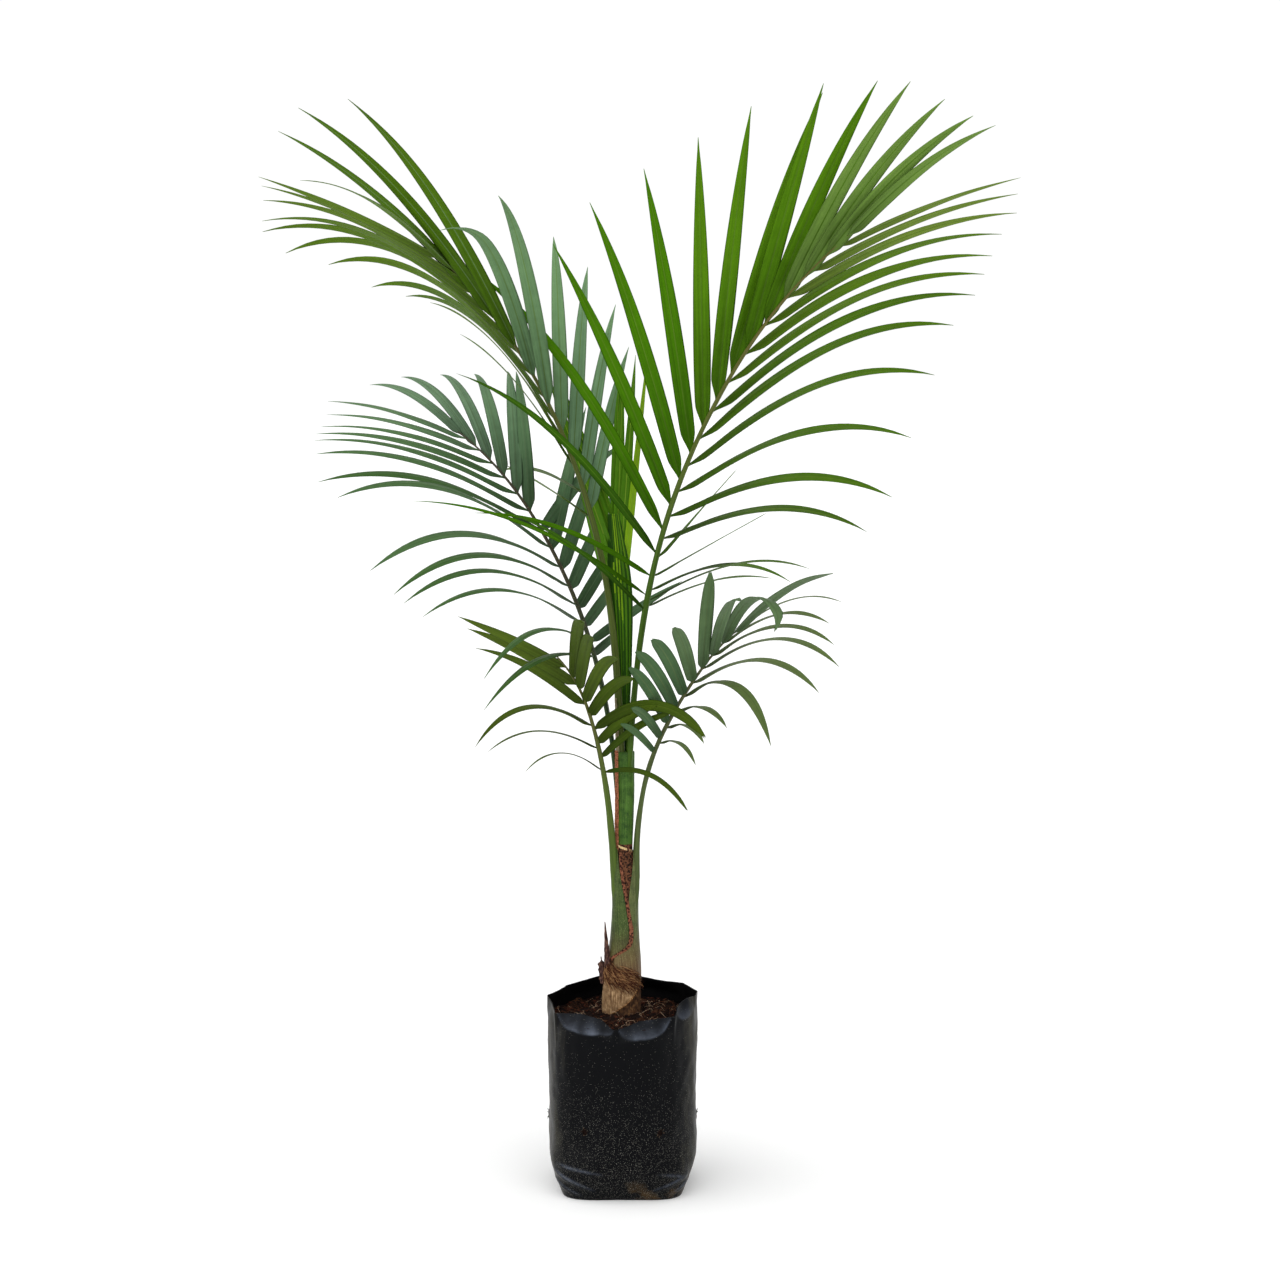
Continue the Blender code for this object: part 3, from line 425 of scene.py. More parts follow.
# How each frond is dressed: its slot, its gloss, its stalk's half widths at the foot, at the middle of the
# petiole, at the first leaflet and at the tip, the screen colours of petiole and rachis with the shares
# between which they change and the colour of any spots, and its rows' colours from first leaflet to last.
DRESS = {
    "frond_tall_right": dict(
        slot="leaf_bright", gloss=0.03, stalk=(0.0070, 0.0056, 0.0048, 0.0011),
        rib=((66, 96, 26), (96, 92, 44), 0.42, 0.80),
        rows={1: ((44, 80, 8), (56, 100, 2), (66, 106, 8), (92, 122, 52)),
              -1: ((58, 88, 12), (62, 96, 8), (72, 104, 14), (92, 116, 40))}),
    "frond_tall_left": dict(
        slot="leaf_bright", gloss=0.04, stalk=(0.0060, 0.0053, 0.0044, 0.0010),
        rib=((78, 92, 36), (82, 84, 40), 0.50, 0.80),
        rows={1: ((74, 100, 20), (66, 96, 14), (72, 100, 20), (78, 104, 28)),
              # the bluish grey of this row's first colours is painted sheen
              -1: ((98, 130, 94), (94, 126, 86), (64, 96, 10), (72, 102, 20))}),
    "frond_mid_left": dict(
        slot="leaf_cool", gloss=0.06, stalk=(0.0052, 0.0045, 0.0040, 0.0010),
        rib=((44, 70, 36), (62, 58, 44), 0.30, 0.60, (150, 140, 70)),
        # the bluish grey-green of both rows, strongest at their outer leaflets, is painted sheen; the near
        # row's darker first colour is painted shade
        rows={1: ((58, 84, 52), (74, 102, 70), (84, 110, 82)),
              -1: ((50, 80, 30), (64, 94, 52), (78, 106, 72))}),
    "frond_low_left": dict(
        slot="leaf_olive", gloss=0.04, stalk=(0.0054, 0.0046, 0.0037, 0.0009),
        rib=((74, 94, 34), (84, 86, 40)),
        rows={1: ((56, 74, 14), (60, 78, 18), (74, 92, 32)),
              -1: ((48, 66, 10), (56, 74, 14), (70, 88, 28))}),
    "frond_low_right": dict(
        slot="leaf_cool", gloss=0.05, stalk=(0.0054, 0.0046, 0.0038, 0.0009),
        rib=((74, 88, 46), (78, 80, 48)),
        rows={1: ((58, 84, 50), (66, 92, 58), (88, 106, 68)),
              -1: ((72, 90, 46), (78, 96, 52), (86, 102, 60))}),
}


def tone(*screen):
    """Linear colour from three screen values of 0 to 255."""
    return tuple(((v / 255 + 0.055) / 1.055) ** 2.4 if v > 10 else v / 255 / 12.92 for v in screen)


def scaled(colour, *factors):
    """A colour times one factor, or times one for each of its three values."""
    return tuple(min(v * f, 1.0) for v, f in zip(colour, factors * 3))


def profile(values, share):
    """Smooth curve through evenly spaced values."""
    last = len(values) - 1
    place = min(max(share, 0.0), 1.0) * last
    k = min(int(place), last - 1)
    f = place - k
    before = values[max(k - 1, 0)]
    here = values[k]
    after = values[k + 1]
    beyond = values[min(k + 2, last)]
    return 0.5 * (2 * here + (after - before) * f + (2 * before - 5 * here + 4 * after - beyond) * f ** 2
                  + (3 * here - before - 3 * after + beyond) * f ** 3)


def smooth(value):
    value = min(max(value, 0.0), 1.0)
    return value * value * (3 - 2 * value)


def blend(low, high, share):
    return low + (high - low) * share


def between(rows, place):
    """Value at a place, from rows of place and value."""
    for (a, low), (b, high) in zip(rows, rows[1:]):
        if place <= b:
            return low + (high - low) * max(place - a, 0.0) / (b - a)
    return rows[-1][1]


def polar(radius, angle, height, x=0.0):
    """Point at a radius and an angle in radians, round an upright axis at x."""
    return Vector((x + radius * math.cos(angle), radius * math.sin(angle), height))


def turned(angle):
    """The same angle between -180 and 180 degrees."""
    return (angle + 180) % 360 - 180


# materials


class Look:
    """A procedural material, with short calls for the nodes that its pattern needs."""

    def __init__(self, name, roughness, specular):
        self.made = bpy.data.materials.new(name)
        self.made.use_nodes = True
        self.nodes = self.made.node_tree.nodes
        self.links = self.made.node_tree.links
        self.shader = self.nodes["Principled BSDF"].inputs
        self.shader["Roughness"].default_value = roughness
        self.shader["Specular IOR Level"].default_value = specular

    def put(self, socket, value):
        """Links a node's output to a socket, or sets the socket's own value."""
        if isinstance(value, bpy.types.NodeSocket):
            self.links.new(value, socket)
        else:
            socket.default_value = value

    def node(self, kind, *entries, **settings):
        """Outputs of a new node with these settings, and with each entry's value put in its socket."""
        node = self.nodes.new("ShaderNode" + kind)
        for key, value in settings.items():
            setattr(node, key, value)
        for socket, value in entries:
            self.put(node.inputs[socket], value)
        return node.outputs

    def uv(self, name):
        return self.node("UVMap", uv_map=name)[0]

    def place(self):
        return self.node("TexCoord")["Object"]

    def stretched(self, source, scale):
        return self.node("Mapping", ("Vector", source), ("Scale", scale))[0]

    def noise(self, source, scale, detail=3.0, rough=0.6):
        entries = (("Vector", source), ("Scale", scale), ("Detail", detail), ("Roughness", rough))
        return self.node("TexNoise", *entries)["Fac"]

    def fibres(self, across, along, detail=3.0, rough=0.6):
        """Noise that is drawn out along the piece's own fibres."""
        return self.noise(self.stretched(self.uv("fibre"), (across, along, 1.0)), 1.0, detail, rough)

    def dots(self, source, scale):
        """Distance to the nearest of scattered points, and that point's own random value."""
        found = self.node("TexVoronoi", ("Vector", source), ("Scale", scale))
        return found["Distance"], self.axis(found["Color"], "X")

    def axis(self, source, letter):
        return self.node("SeparateXYZ", (0, source))[letter]

    def math(self, operation, a, b=0.0, c=0.0):
        return self.node("Math", (0, a), (1, b), (2, c), operation=operation)[0]

    def shifted(self, base, pattern, size):
        """A value moved up and down by a pattern whose middle is at a half."""
        return self.math("MULTIPLY_ADD", self.math("SUBTRACT", pattern, 0.5), size, base)

    def span(self, value, low, high, out_low=0.0, out_high=1.0):
        """Maps a value's range to another one, clamped."""
        sockets = ("Value", "From Min", "From Max", "To Min", "To Max")
        return self.node("MapRange", *zip(sockets, (value, low, high, out_low, out_high)))[0]

    def ramp(self, factor, stops):
        node = self.nodes.new("ShaderNodeValToRGB")
        self.put(node.inputs[0], factor)
        marks = node.color_ramp.elements
        while len(marks) < len(stops):
            marks.new(0.5)
        for mark, (place, colour) in zip(marks, stops):
            mark.position = place
            mark.color = (*colour, 1.0)
        return node.outputs[0]

    def mix(self, factor, a, b):
        a, b = ((*v, 1.0) if isinstance(v, tuple) else v for v in (a, b))
        return self.node("Mix", (0, factor), (6, a), (7, b), data_type="RGBA")[2]

    def colour(self, value):
        self.put(self.shader["Base Color"], value)

    def bump(self, height, strength, distance):
        entries = (("Height", height), ("Strength", strength), ("Distance", distance))
        self.links.new(self.node("Bump", *entries)[0], self.shader["Normal"])


def leaf_look(name, colour, specular, veins=0.80, along=0.46, across=0.22):
    """Leaf tissue: fine veins along the blade, a darker foot, centre line and margins."""
    look = Look(name, 0.46, specular)
    share = look.uv("share")
    fine = look.fibres(1500.0, 9.0)
    broad = look.fibres(320.0, 5.0, 2.0, 0.5)
    mottle = look.noise(look.place(), 60.0)
    rise = look.span(look.axis(share, "Y"), 0.0, 0.5, -along, 0.08)
    off = look.math("ABSOLUTE", look.math("SUBTRACT", look.axis(share, "X"), 0.5))
    edge = look.span(off, 0.40, 0.5, 0.0, -across)
    centre = look.span(off, 0.0, 0.07, -across * 0.8, 0.0)
    value = look.shifted(0.5, fine, veins)
    value = look.shifted(value, broad, veins * 0.9)
    value = look.shifted(value, mottle, 0.30)
    value = look.math("ADD", look.math("ADD", value, rise), look.math("ADD", edge, centre))
    light = scaled(colour, 1.60, 1.50, 1.50)
    look.colour(look.ramp(value, ((0.0, scaled(colour, 0.50)), (0.5, colour), (1.0, light))))
    look.bump(look.math("ADD", fine, broad), 0.35, 0.0005)
    return look.made


def stalk_look(name, low, high, first=0.34, last=0.66, spots=None):
    """A petiole that changes into the rachis between two shares of its length, with streaks along it."""
    look = Look(name, 0.42, 0.12)
    low, high = tone(*low), tone(*high)
    streak = look.fibres(900.0, 14.0)
    change = look.span(look.shifted(look.axis(look.uv("share"), "Y"), streak, 0.25), first, last)
    dark = look.mix(change, scaled(low, 0.55), scaled(high, 0.6))
    mixed = look.mix(look.span(streak, 0.35, 0.65), dark, look.mix(change, low, high))
    if spots is not None:
        speck = look.noise(look.place(), 700.0, 2.0)
        mixed = look.mix(look.span(speck, 0.60, 0.72, 0.0, 0.5), mixed, tone(*spots))
    look.colour(mixed)
    look.bump(streak, 0.4, 0.0006)
    return look.made


def film_look():
    """Thin black film: satin, painted sheen below the rim and on the creases, pale specks and dirt that
    thicken to its foot.
    """
    look = Look("black_film", 0.36, 0.055)
    place = look.place()
    height = look.axis(place, "Z")
    # paler olive-grey streaky bands, also rougher, towards the film's left and right sides
    side = look.span(look.math("ABSOLUTE", look.axis(place, "X")), 0.060, 0.094, 0.08, 1.0)
    patch = look.noise(place, 34.0, 4.0)
    bands = look.span(look.noise(look.stretched(place, (3.0, 3.0, 1.0)), 18.0), 0.30, 0.60, 0.35, 1.0)
    band_noise = look.noise(look.stretched(place, (1.0, 1.0, 0.35)), 60.0, 5.0, 0.7)
    side_bands = look.math("MULTIPLY", band_noise, look.math("MULTIPLY", side, bands))
    film = look.mix(look.span(side_bands, 0.20, 0.70, 0.0, 0.85), tone(5, 6, 8), tone(62, 60, 50))
    # painted sheen: bluish grey light put into the colour where the film leans in below its rim and on the
    # creases
    streak = look.span(look.noise(place, 46.0), 0.34, 0.62, 0.30, 1.0)
    sheen = look.math("MULTIPLY", look.axis(look.uv("share"), "X"), streak)
    film = look.mix(sheen, film, tone(86, 92, 104))
    soiled = look.math("MULTIPLY", look.span(patch, 0.56, 0.72), look.span(height, 0.034, 0.0))
    film = look.mix(look.math("MULTIPLY", soiled, 0.7), film, tone(84, 66, 42))
    speck = 0.0
    low = look.shifted(height, patch, 0.10)
    for scale, size, rare, common in ((640.0, 0.24, 0.95, 0.50), (1100.0, 0.30, 0.97, 0.58)):
        far, pick = look.dots(place, scale)
        picked = look.math("GREATER_THAN", pick, look.span(low, 0.17, 0.02, rare, common))
        dot = look.math("MULTIPLY", look.span(far, size, size * 0.5), picked)
        speck = look.math("MAXIMUM", dot, speck)
    pale = look.math("MULTIPLY", speck, look.span(patch, 0.3, 0.7, 0.45, 0.85))
    look.colour(look.mix(pale, film, tone(150, 148, 138)))
    rough = look.math("MULTIPLY_ADD", speck, 0.3, look.span(side_bands, 0.2, 0.8, 0.30, 0.55))
    look.put(look.shader["Roughness"], rough)
    look.bump(look.math("ADD", look.noise(place, 160.0, 4.0, 0.65), speck), 0.25, 0.0008)
    return look.made


def inner_film_look():
    """The film's inner side, near black and dull."""
    look = Look("black_film_inside", 0.6, 0.03)
    look.colour(look.mix(look.noise(look.place(), 90.0), tone(3, 3, 4), tone(12, 11, 11)))
    return look.made


def torn_look():
    """Torn, soiled lip of a drain hole."""
    look = Look("torn_film_edge", 0.8, 0.1)
    grain = look.noise(look.place(), 520.0, 3.0, 0.7)
    stops = ((0.38, tone(12, 10, 9)), (0.54, tone(46, 36, 28)), (0.72, tone(146, 122, 98)))
    look.colour(look.ramp(grain, stops))
    look.bump(grain, 0.6, 0.0008)
    return look.made


def crumb_look(name, *screen):
    """Coarse fibre and crumbs of the growing medium."""
    look = Look(name, 0.9, 0.08)
    colour = tone(*screen)
    grain = look.noise(look.place(), 650.0, 4.0, 0.7)
    look.colour(look.ramp(grain, ((0.30, scaled(colour, 0.35)), (0.52, colour), (0.75, scaled(colour, 1.7)))))
    look.bump(grain, 0.8, 0.0012)
    return look.made


def fibre_look(name, dark, middle, pale, across=1500.0, along=60.0):
    """Dry fibres that run along the piece, from a dark, a middle and a pale colour."""
    look = Look(name, 0.75, 0.10)
    fibre = look.fibres(across, along, 4.0, 0.65)
    value = look.shifted(fibre, look.noise(look.place(), 180.0), 0.5)
    look.colour(look.ramp(value, ((0.34, tone(*dark)), (0.51, tone(*middle)), (0.68, tone(*pale)))))
    look.bump(fibre, 0.7, 0.0012)
    return look.made


def speckle_look(name, base, dots, scale, cover):
    """Felted margin of a sheath, with dark dots."""
    look = Look(name, 0.8, 0.08)
    base = tone(*base)
    grain = look.noise(look.place(), scale, 2.0)
    patch = look.noise(look.place(), scale * 0.35)
    warm = look.mix(look.span(patch, 0.35, 0.65), scaled(base, 0.75), scaled(base, 1.3))
    look.colour(look.mix(look.span(grain, cover - 0.03, cover + 0.05), warm, tone(*dots)))
    look.bump(grain, 0.7, 0.0010)
    return look.made


def sheath_look(name, light, dark, flecks, foot=None):
    """Green sheath with pale flecks and faint veins. foot is the brown that its lower end fades to."""
    look = Look(name, 0.40, 0.10)
    vein = look.fibres(700.0, 16.0)
    fleck = look.noise(look.place(), 1100.0, 2.0)
    value = look.shifted(vein, look.noise(look.place(), 90.0), 0.9)
    body = look.mix(look.span(value, 0.30, 0.70), tone(*dark), tone(*light))
    if foot is not None:
        height = look.shifted(look.axis(look.place(), "Z"), vein, 0.05)
        brown = look.mix(look.span(vein, 0.40, 0.62), scaled(tone(*foot), 0.5), tone(*foot))
        body = look.mix(look.span(height, FOOT_GREEN, FOOT_BROWN), body, brown)
    look.colour(look.mix(look.span(fleck, 0.58, 0.68, 0.0, 0.45), body, tone(*flecks)))
    look.bump(look.math("ADD", vein, fleck), 0.35, 0.0006)
    return look.made


# meshes


class Pile:
    """Points, faces, their material numbers and their UV places, gathered before one mesh is made."""

    def __init__(self):
        self.points = []
        self.faces = []
        self.kinds = []
        self.share = []
        self.fibre = []

    def add(self, face, kind, share=None, fibre=None):
        self.faces.append(face)
        self.kinds.append(kind)
        self.share += share or [(0.5, 0.5)] * len(face)
        self.fibre += fibre or [(self.points[k][0], self.points[k][2]) for k in face]

    def grid(self, rows, kind, places=None, closed=False, flip=False):
        """Faces over rows of point numbers. places gives each point's share and metres as two UV pairs."""
        count = len(rows[0])
        for k in range(len(rows) - 1):
            for j in range(count if closed else count - 1):
                i = (j + 1) % count
                face = [rows[k][j], rows[k][i], rows[k + 1][i], rows[k + 1][j]]
                spots = [(k, j), (k, j + 1), (k + 1, j + 1), (k + 1, j)]
                if flip:
                    face.reverse()
                    spots.reverse()
                number = kind(k, j) if callable(kind) else kind
                if places is None:
                    self.add(face, number)
                else:
                    found = [places(*spot) for spot in spots]
                    self.add(face, number, [f[0] for f in found], [f[1] for f in found])

    def ring(self, points):
        start = len(self.points)
        self.points += points
        return list(range(start, len(self.points)))

    def tube(self, rings, kind, places=None):
        """Closed skin over rings, each end capped."""
        rows = [self.ring(points) for points in rings]
        self.grid(rows, kind, places, closed=True)
        number = kind(0, 0) if callable(kind) else kind
        self.add(rows[0][::-1], number)
        self.add(rows[-1], kind(len(rows) - 2, 0) if callable(kind) else kind)


def in_scene(name, data):
    """A new object that shows in the scene."""
    obj = bpy.data.objects.new(name, data)
    bpy.context.scene.collection.objects.link(obj)
    return obj


def piece(name, pile, looks, nodes, slot, mend=False):
    """One mesh object from a pile, which rides on the part and stands for the CAD nodes."""
    mesh = bpy.data.meshes.new(name)
    mesh.from_pydata(pile.points, [], pile.faces)
    for label, places in (("share", pile.share), ("fibre", pile.fibre)):
        layer = mesh.uv_layers.new(name=label)
        layer.data.foreach_set("uv", [v for pair in places for v in pair])
    mesh.polygons.foreach_set("material_index", pile.kinds)
    mesh.polygons.foreach_set("use_smooth", [True] * len(pile.faces))
    for look in looks:
        mesh.materials.append(look)
    if mend:
        bm = bmesh.new()
        bm.from_mesh(mesh)
        bmesh.ops.recalc_face_normals(bm, faces=bm.faces[:])
        bm.to_mesh(mesh)
        bm.free()
    mesh.validate()
    mesh.update()
    obj = in_scene(name, mesh)
    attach(obj, "root")
    if nodes:
        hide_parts(*nodes)


# the CAD source's rule for the ribs and the leaflets


def rib_line(frond):
    """Share, point, tangent, normal and side direction along the whole rib."""
    total = frond["petiole"] + frond["rachis"]
    point = Vector(frond["foot"])
    line = []
    for k in range(RIB_STEPS + 1):
        s = k / RIB_STEPS
        lean = math.radians(profile(frond["lean"], s))
        heading = math.radians(profile(frond["heading"], s))
        roll = math.radians(profile(frond["roll"], s))
        out = Vector((math.cos(heading), math.sin(heading), 0.0))
        tangent = math.sin(lean) * out + math.cos(lean) * UP
        flat = math.sin(lean) * UP - math.cos(lean) * out
        side = tangent.cross(flat)
        normal = flat * math.cos(roll) + side * math.sin(roll)
        if k > 0:
            point = point + (tangent + line[-1][2]) * (0.5 * total / RIB_STEPS)
        line.append((s, point.copy(), tangent, normal, tangent.cross(normal)))
    return line


def rib_at(line, s):
    """Point, tangent, normal and side direction at a share of the rib."""
    place = min(max(s, 0.0), 1.0) * RIB_STEPS
    k = min(int(place), RIB_STEPS - 1)
    f = place - k
    return [line[k][j].lerp(line[k + 1][j], f) for j in range(1, 5)]


def petiole_share(frond):
    return frond["petiole"] / (frond["petiole"] + frond["rachis"])


def rib_radius(frond, s):
    foot, first, tip = frond["radii"]
    start = petiole_share(frond)
    if s < start:
        return foot + (first - foot) * s / start
    return first + (tip - first) * ((s - start) / (1 - start)) ** 0.8


def leaf_line(frond, line, q, side, nudge, sway, steps=LEAF_STEPS):
    """Centre line of a leaflet that leaves at share q of the rachis, and its blade's normal."""
    row = frond["rows"][side]
    start = petiole_share(frond)
    point, tangent, normal, across = rib_at(line, start + (1 - start) * q)
    angle = math.radians(profile(row["angle"], q) + nudge[1] + sway[0])
    rise = math.radians(profile(row["rise"], q) + nudge[0] + sway[1])
    outward = side * math.cos(rise) * across + math.sin(rise) * normal
    upper = math.cos(rise) * normal - side * math.sin(rise) * across
    aim = math.cos(angle) * tangent + math.sin(angle) * outward
    sag = max(profile(row["sag"], q) + sway[3], 0.0)
    length = profile(row["length"], q) * nudge[2] * sway[2]
    points = [point.copy()]
    for k in range(steps):
        u = (k + 0.5) / steps
        step = aim - Vector((0.0, 0.0, sag * u ** 1.4))
        points.append(points[-1] + step.normalized() * (length / steps))
    return points, upper, length


def along(points, u):
    """Point and direction at share u of a line."""
    last = len(points) - 1
    place = min(max(u, 0.0), 1.0) * last
    k = min(int(place), last - 1)
    here = points[k].lerp(points[k + 1], place - k)
    ahead = points[min(k + 2, last)] - points[max(k - 1, 0)]
    return here, ahead.normalized()


def add_skin(bm, rings, tip):
    """Closed skin over rings of equal count, capped at its foot and drawn to a tip."""
    loops = [[bm.verts.new(p) for p in ring] for ring in rings]
    count = len(loops[0])
    for low, high in zip(loops, loops[1:]):
        for k in range(count):
            j = (k + 1) % count
            bm.faces.new((low[k], low[j], high[j], high[k]))
    bm.faces.new(loops[0][::-1])
    point = bm.verts.new(tip)
    for k in range(count):
        bm.faces.new((loops[-1][k], loops[-1][(k + 1) % count], point))


def rib_rings(frond, line):
    """Rings of the solid petiole and rachis."""
    low = 0.0
    for s, point, tangent, normal, side in line:
        if point.z >= frond["start"] - 1e-9:
            low = s
            break
    rings = []
    for k in range(RIB_RINGS):
        s = low + (RIB_END - low) * (k / (RIB_RINGS - 1)) ** 1.1
        point, tangent, normal, side = rib_at(line, s)
        deep = wide = rib_radius(frond, s)
        if "girth" in frond:
            wide = profile(frond["girth"], s)
            deep = SPEAR_FLAT * wide
        ring = []
        for j in range(RIB_SIDES):
            a = ROUND * j / RIB_SIDES + RIB_TURN
            ring.append(point + deep * math.cos(a) * normal + wide * math.sin(a) * side)
        if k == 0:
            for p in ring:
                p.z = frond["start"]
        rings.append(ring)
    return rings


def solid_blade(bm, points, upper, length, width, twist, shape, grow=0.0):
    """The CAD source's simple blade, which shows where a leaflet has room."""
    shares, widths = LEAF_SHAPES[shape]
    rings = []
    for u in shares:
        here, ahead = along(points, u)
        side = upper.cross(ahead).normalized()
        side = Matrix.Rotation(twist, 3, ahead) @ side
        face = ahead.cross(side)
        half = 0.5 * width * profile(widths, u) + grow
        thick = LEAF_THICK * length * (0.45 + 0.55 * profile(widths, u)) * (1 - 0.35 * u) + grow
        drop = LEAF_TENT * half
        rings.append([here - side * half - face * drop,
                      here - face * 0.45 * thick,
                      here + side * half - face * drop,
                      here + face * 0.55 * thick])
    tip, ahead = along(points, 1.0)
    add_skin(bm, rings, tip + ahead * grow * 1.5)


def tree_of(bm):
    bm.normal_update()
    tree = BVHTree.FromBMesh(bm)
    bm.free()
    return tree


def node_tree(name):
    bm = bmesh.new()
    bm.from_mesh(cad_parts[name].data)
    return tree_of(bm)


def place_leaflets(frond, line, obstacles):
    """Leaflets of one frond that keep clear of every other piece, where the CAD source has them."""
    chance = random.Random(frond["seed"])
    placed = []
    for side, row in frond["rows"].items():
        count, first, last, power = row["places"]
        for k in range(count):
            q = first + (last - first) * (k / (count - 1)) ** power
            turn, lift, droop, share, roll = row.get("bent", {}).get(k, (0, 0, 0, 1, 0))
            sway = (turn + chance.uniform(-0.5, 0.5), lift + chance.uniform(-0.6, 0.6),
                    share * chance.uniform(0.99, 1.01), droop)
            twist = -side * math.radians(profile(row["twist"], q) + roll + chance.uniform(-5, 5))
            width = frond["width"] * profile(row.get("widths", ROW_WIDTHS), q)
            for nudge in NUDGES:
                points, upper, length = leaf_line(frond, line, q, side, nudge, sway)
                test = bmesh.new()
                solid_blade(test, points, upper, length, width, twist, row["shape"], CLEAR)
                tree = tree_of(test)
                if not any(tree.overlap(other) for other in obstacles):
                    placed.append((q, side, nudge, sway, twist, width, row["shape"], k))
                    break
    return placed


def all_leaflets(lines):
    """Every frond's leaflets, each placed clear of the ribs and of the fronds before it."""
    trees = {}
    for name, frond in FRONDS.items():
        bm = bmesh.new()
        add_skin(bm, rib_rings(frond, lines[name]), rib_at(lines[name], 1.0)[0])
        trees[name] = [tree_of(bm)]
    solids = [node_tree(n) for n in ("nursery_bag", "stem_base", "main_sheath", "sheath_fibre_strip")]
    found = {}
    for name, frond in FRONDS.items():
        obstacles = list(solids)
        for other, grown in trees.items():
            if other != name:
                obstacles += grown
        found[name] = place_leaflets(frond, lines[name], obstacles)
        for q, side, nudge, sway, twist, width, shape, k in found[name]:
            points, upper, length = leaf_line(frond, lines[name], q, side, nudge, sway)
            bm = bmesh.new()
            solid_blade(bm, points, upper, length, width, twist, shape)
            trees[name].append(tree_of(bm))
    return found


# leaflets and ribs


def outline(shape, u):
    """Share of the full width at a share of the length: a short stalk, a quick shoulder, a long taper."""
    stalk = 0.20 + 0.80 * smooth(u / STALK_SHARE) ** 0.8
    return stalk * profile(OUTLINES[shape], u)


def hooked(points, hook):
    """The leaflet's line, with its tip turned over in the plane of the front view."""
    first, turn, longer = hook
    made = [points[0]]
    last = len(points) - 1
    for k in range(last):
        u = longer * (k + 0.5) / last
        here, ahead = along(points, min(u, 0.98))
        bend = math.radians(turn) * smooth((u - first) / (longer - first))
        ahead = Matrix.Rotation(-bend, 3, "Y") @ ahead
        made.append(made[-1] + ahead * (longer * (points[1] - points[0]).length))
    return made


def fine_blade(pile, name, line, leaflet, kind, rib_kind, chance):
    """Thin leaflet, folded along its midrib, with a raised midrib and a soft wave along its margins."""
    q, side_sign, nudge, sway, twist, width, shape, number = leaflet
    points, upper, length = leaf_line(FRONDS[name], line, q, side_sign, nudge, sway, FINE_STEPS)
    if (name, side_sign, number) in HOOKS:
        points = hooked(points, HOOKS[name, side_sign, number])
    wave = chance.uniform(*BLADE_WAVES)
    beat = chance.uniform(*BLADE_BEATS)
    phase = chance.uniform(0, NEARLY_ROUND)
    curl = math.radians(chance.uniform(-BLADE_CURL, BLADE_CURL))
    ragged = [chance.uniform(-1, 1) for c in COLUMNS]
    start = chance.uniform(0, 50)
    tops = []
    bottoms = []
    shares = []
    count = len(COLUMNS)
    for k in range(STATIONS):
        t = k / (STATIONS - 1)
        u = 0.55 * t + 0.45 * t * t if t < 1 else 1.0
        shares.append(u)
        here, ahead = along(points, u)
        side = Matrix.Rotation(twist + curl * u * u, 3, ahead) @ upper.cross(ahead).normalized()
        face = ahead.cross(side)
        half = 0.5 * width * outline(shape, u)
        fold = profile(TENTS, u)
        top = []
        bottom = []
        for j, c in enumerate(COLUMNS):
            ripple = math.sin(beat * NEARLY_ROUND * u + phase + (2.0 if c > 0 else 0.0))
            lift = half * ((wave * ripple - fold) * abs(c) + BLADE_CUP * c * c)
            spot = here + side * half * c * (1 - 0.3 * fold * fold) + face * lift
            if shape == "blunt" and u > RAGGED_FROM:
                spot += ahead * (ragged[j] * RAGGED_REACH * length * (u - RAGGED_FROM) / (1 - RAGGED_FROM))
            thick = BLADE_THICK * math.sqrt(max(1 - c * c, 0.0)) * (MIDRIB_THICK if abs(c) < 0.1 else 1.0)
            thick = min(thick, half * 0.9)
            top.append(spot + face * (0.5 * thick))
            bottom.append(spot - face * (0.5 * thick))
        upper_row = pile.ring(top)
        tops.append(upper_row)
        bottoms.append([upper_row[0], *pile.ring(bottom[1:-1]), upper_row[-1]])

    def places(k, j):
        u = shares[k]
        across = COLUMNS[j] * 0.5 * width * outline(shape, u)
        return (0.5 + 0.5 * COLUMNS[j], u), (start + across, u * length + start)

    def kinds(k, j):
        return rib_kind if j == count // 2 - 1 else kind

    pile.grid(tops, kinds, places, flip=True)
    pile.grid(bottoms, kinds, places)
    for row in (0, STATIONS - 1):
        for j in range(count - 1):
            face = [tops[row][j], tops[row][j + 1], bottoms[row][j + 1], bottoms[row][j]]
            face = list(dict.fromkeys(face))
            if row == 0:
                face.reverse()
            pile.add(face[::-1], kind)


def stalk_ring(point, normal, side, wide, deep, channel):
    """Section of a stalk: round below, with a shallow channel above."""
    ring = []
    for j in range(STALK_POINTS):
        a = ROUND * j / STALK_POINTS
        hollow = 1 - channel * math.exp(-((min(a, ROUND - a) / 0.55) ** 2))
        ring.append(point + normal * (deep * hollow * math.cos(a)) + side * (wide * math.sin(a)))
    return ring


def stalk_width(name, s):
    foot, middle, first, tip = DRESS[name]["stalk"]
    start = petiole_share(FRONDS[name])
    if s < start:
        return profile((foot, middle, first), s / start)
    return first + (tip - first) * ((s - start) / (1 - start)) ** STALK_TAPER


def sunk_rings(name, line):
    """Rings of a petiole's foot, drawn down against the stem."""
    point, tangent, normal, side = rib_at(line, 0.0)
    reach = point - Vector((stem_shift(STEM_HEIGHTS[-1]), 0.0, point.z))
    rings = []
    for k in range(SINK_RINGS):
        share = 1 - k / SINK_RINGS
        height = point.z - STEM_SINK * share
        above = height - SOIL_HEIGHT - GAP
        wide = stalk_width(name, 0.0) * (1 + SINK_FLARE * share)
        away = blend(reach.length, stem_radius(above) - wide * SINK_DEPTH - SINK_PRESS, smooth(share))
        centre = Vector((stem_shift(above), 0.0, height)) + reach.normalized() * away
        rings.append(stalk_ring(centre, normal, side, wide, wide * SINK_DEPTH, 0.0))
    return rings


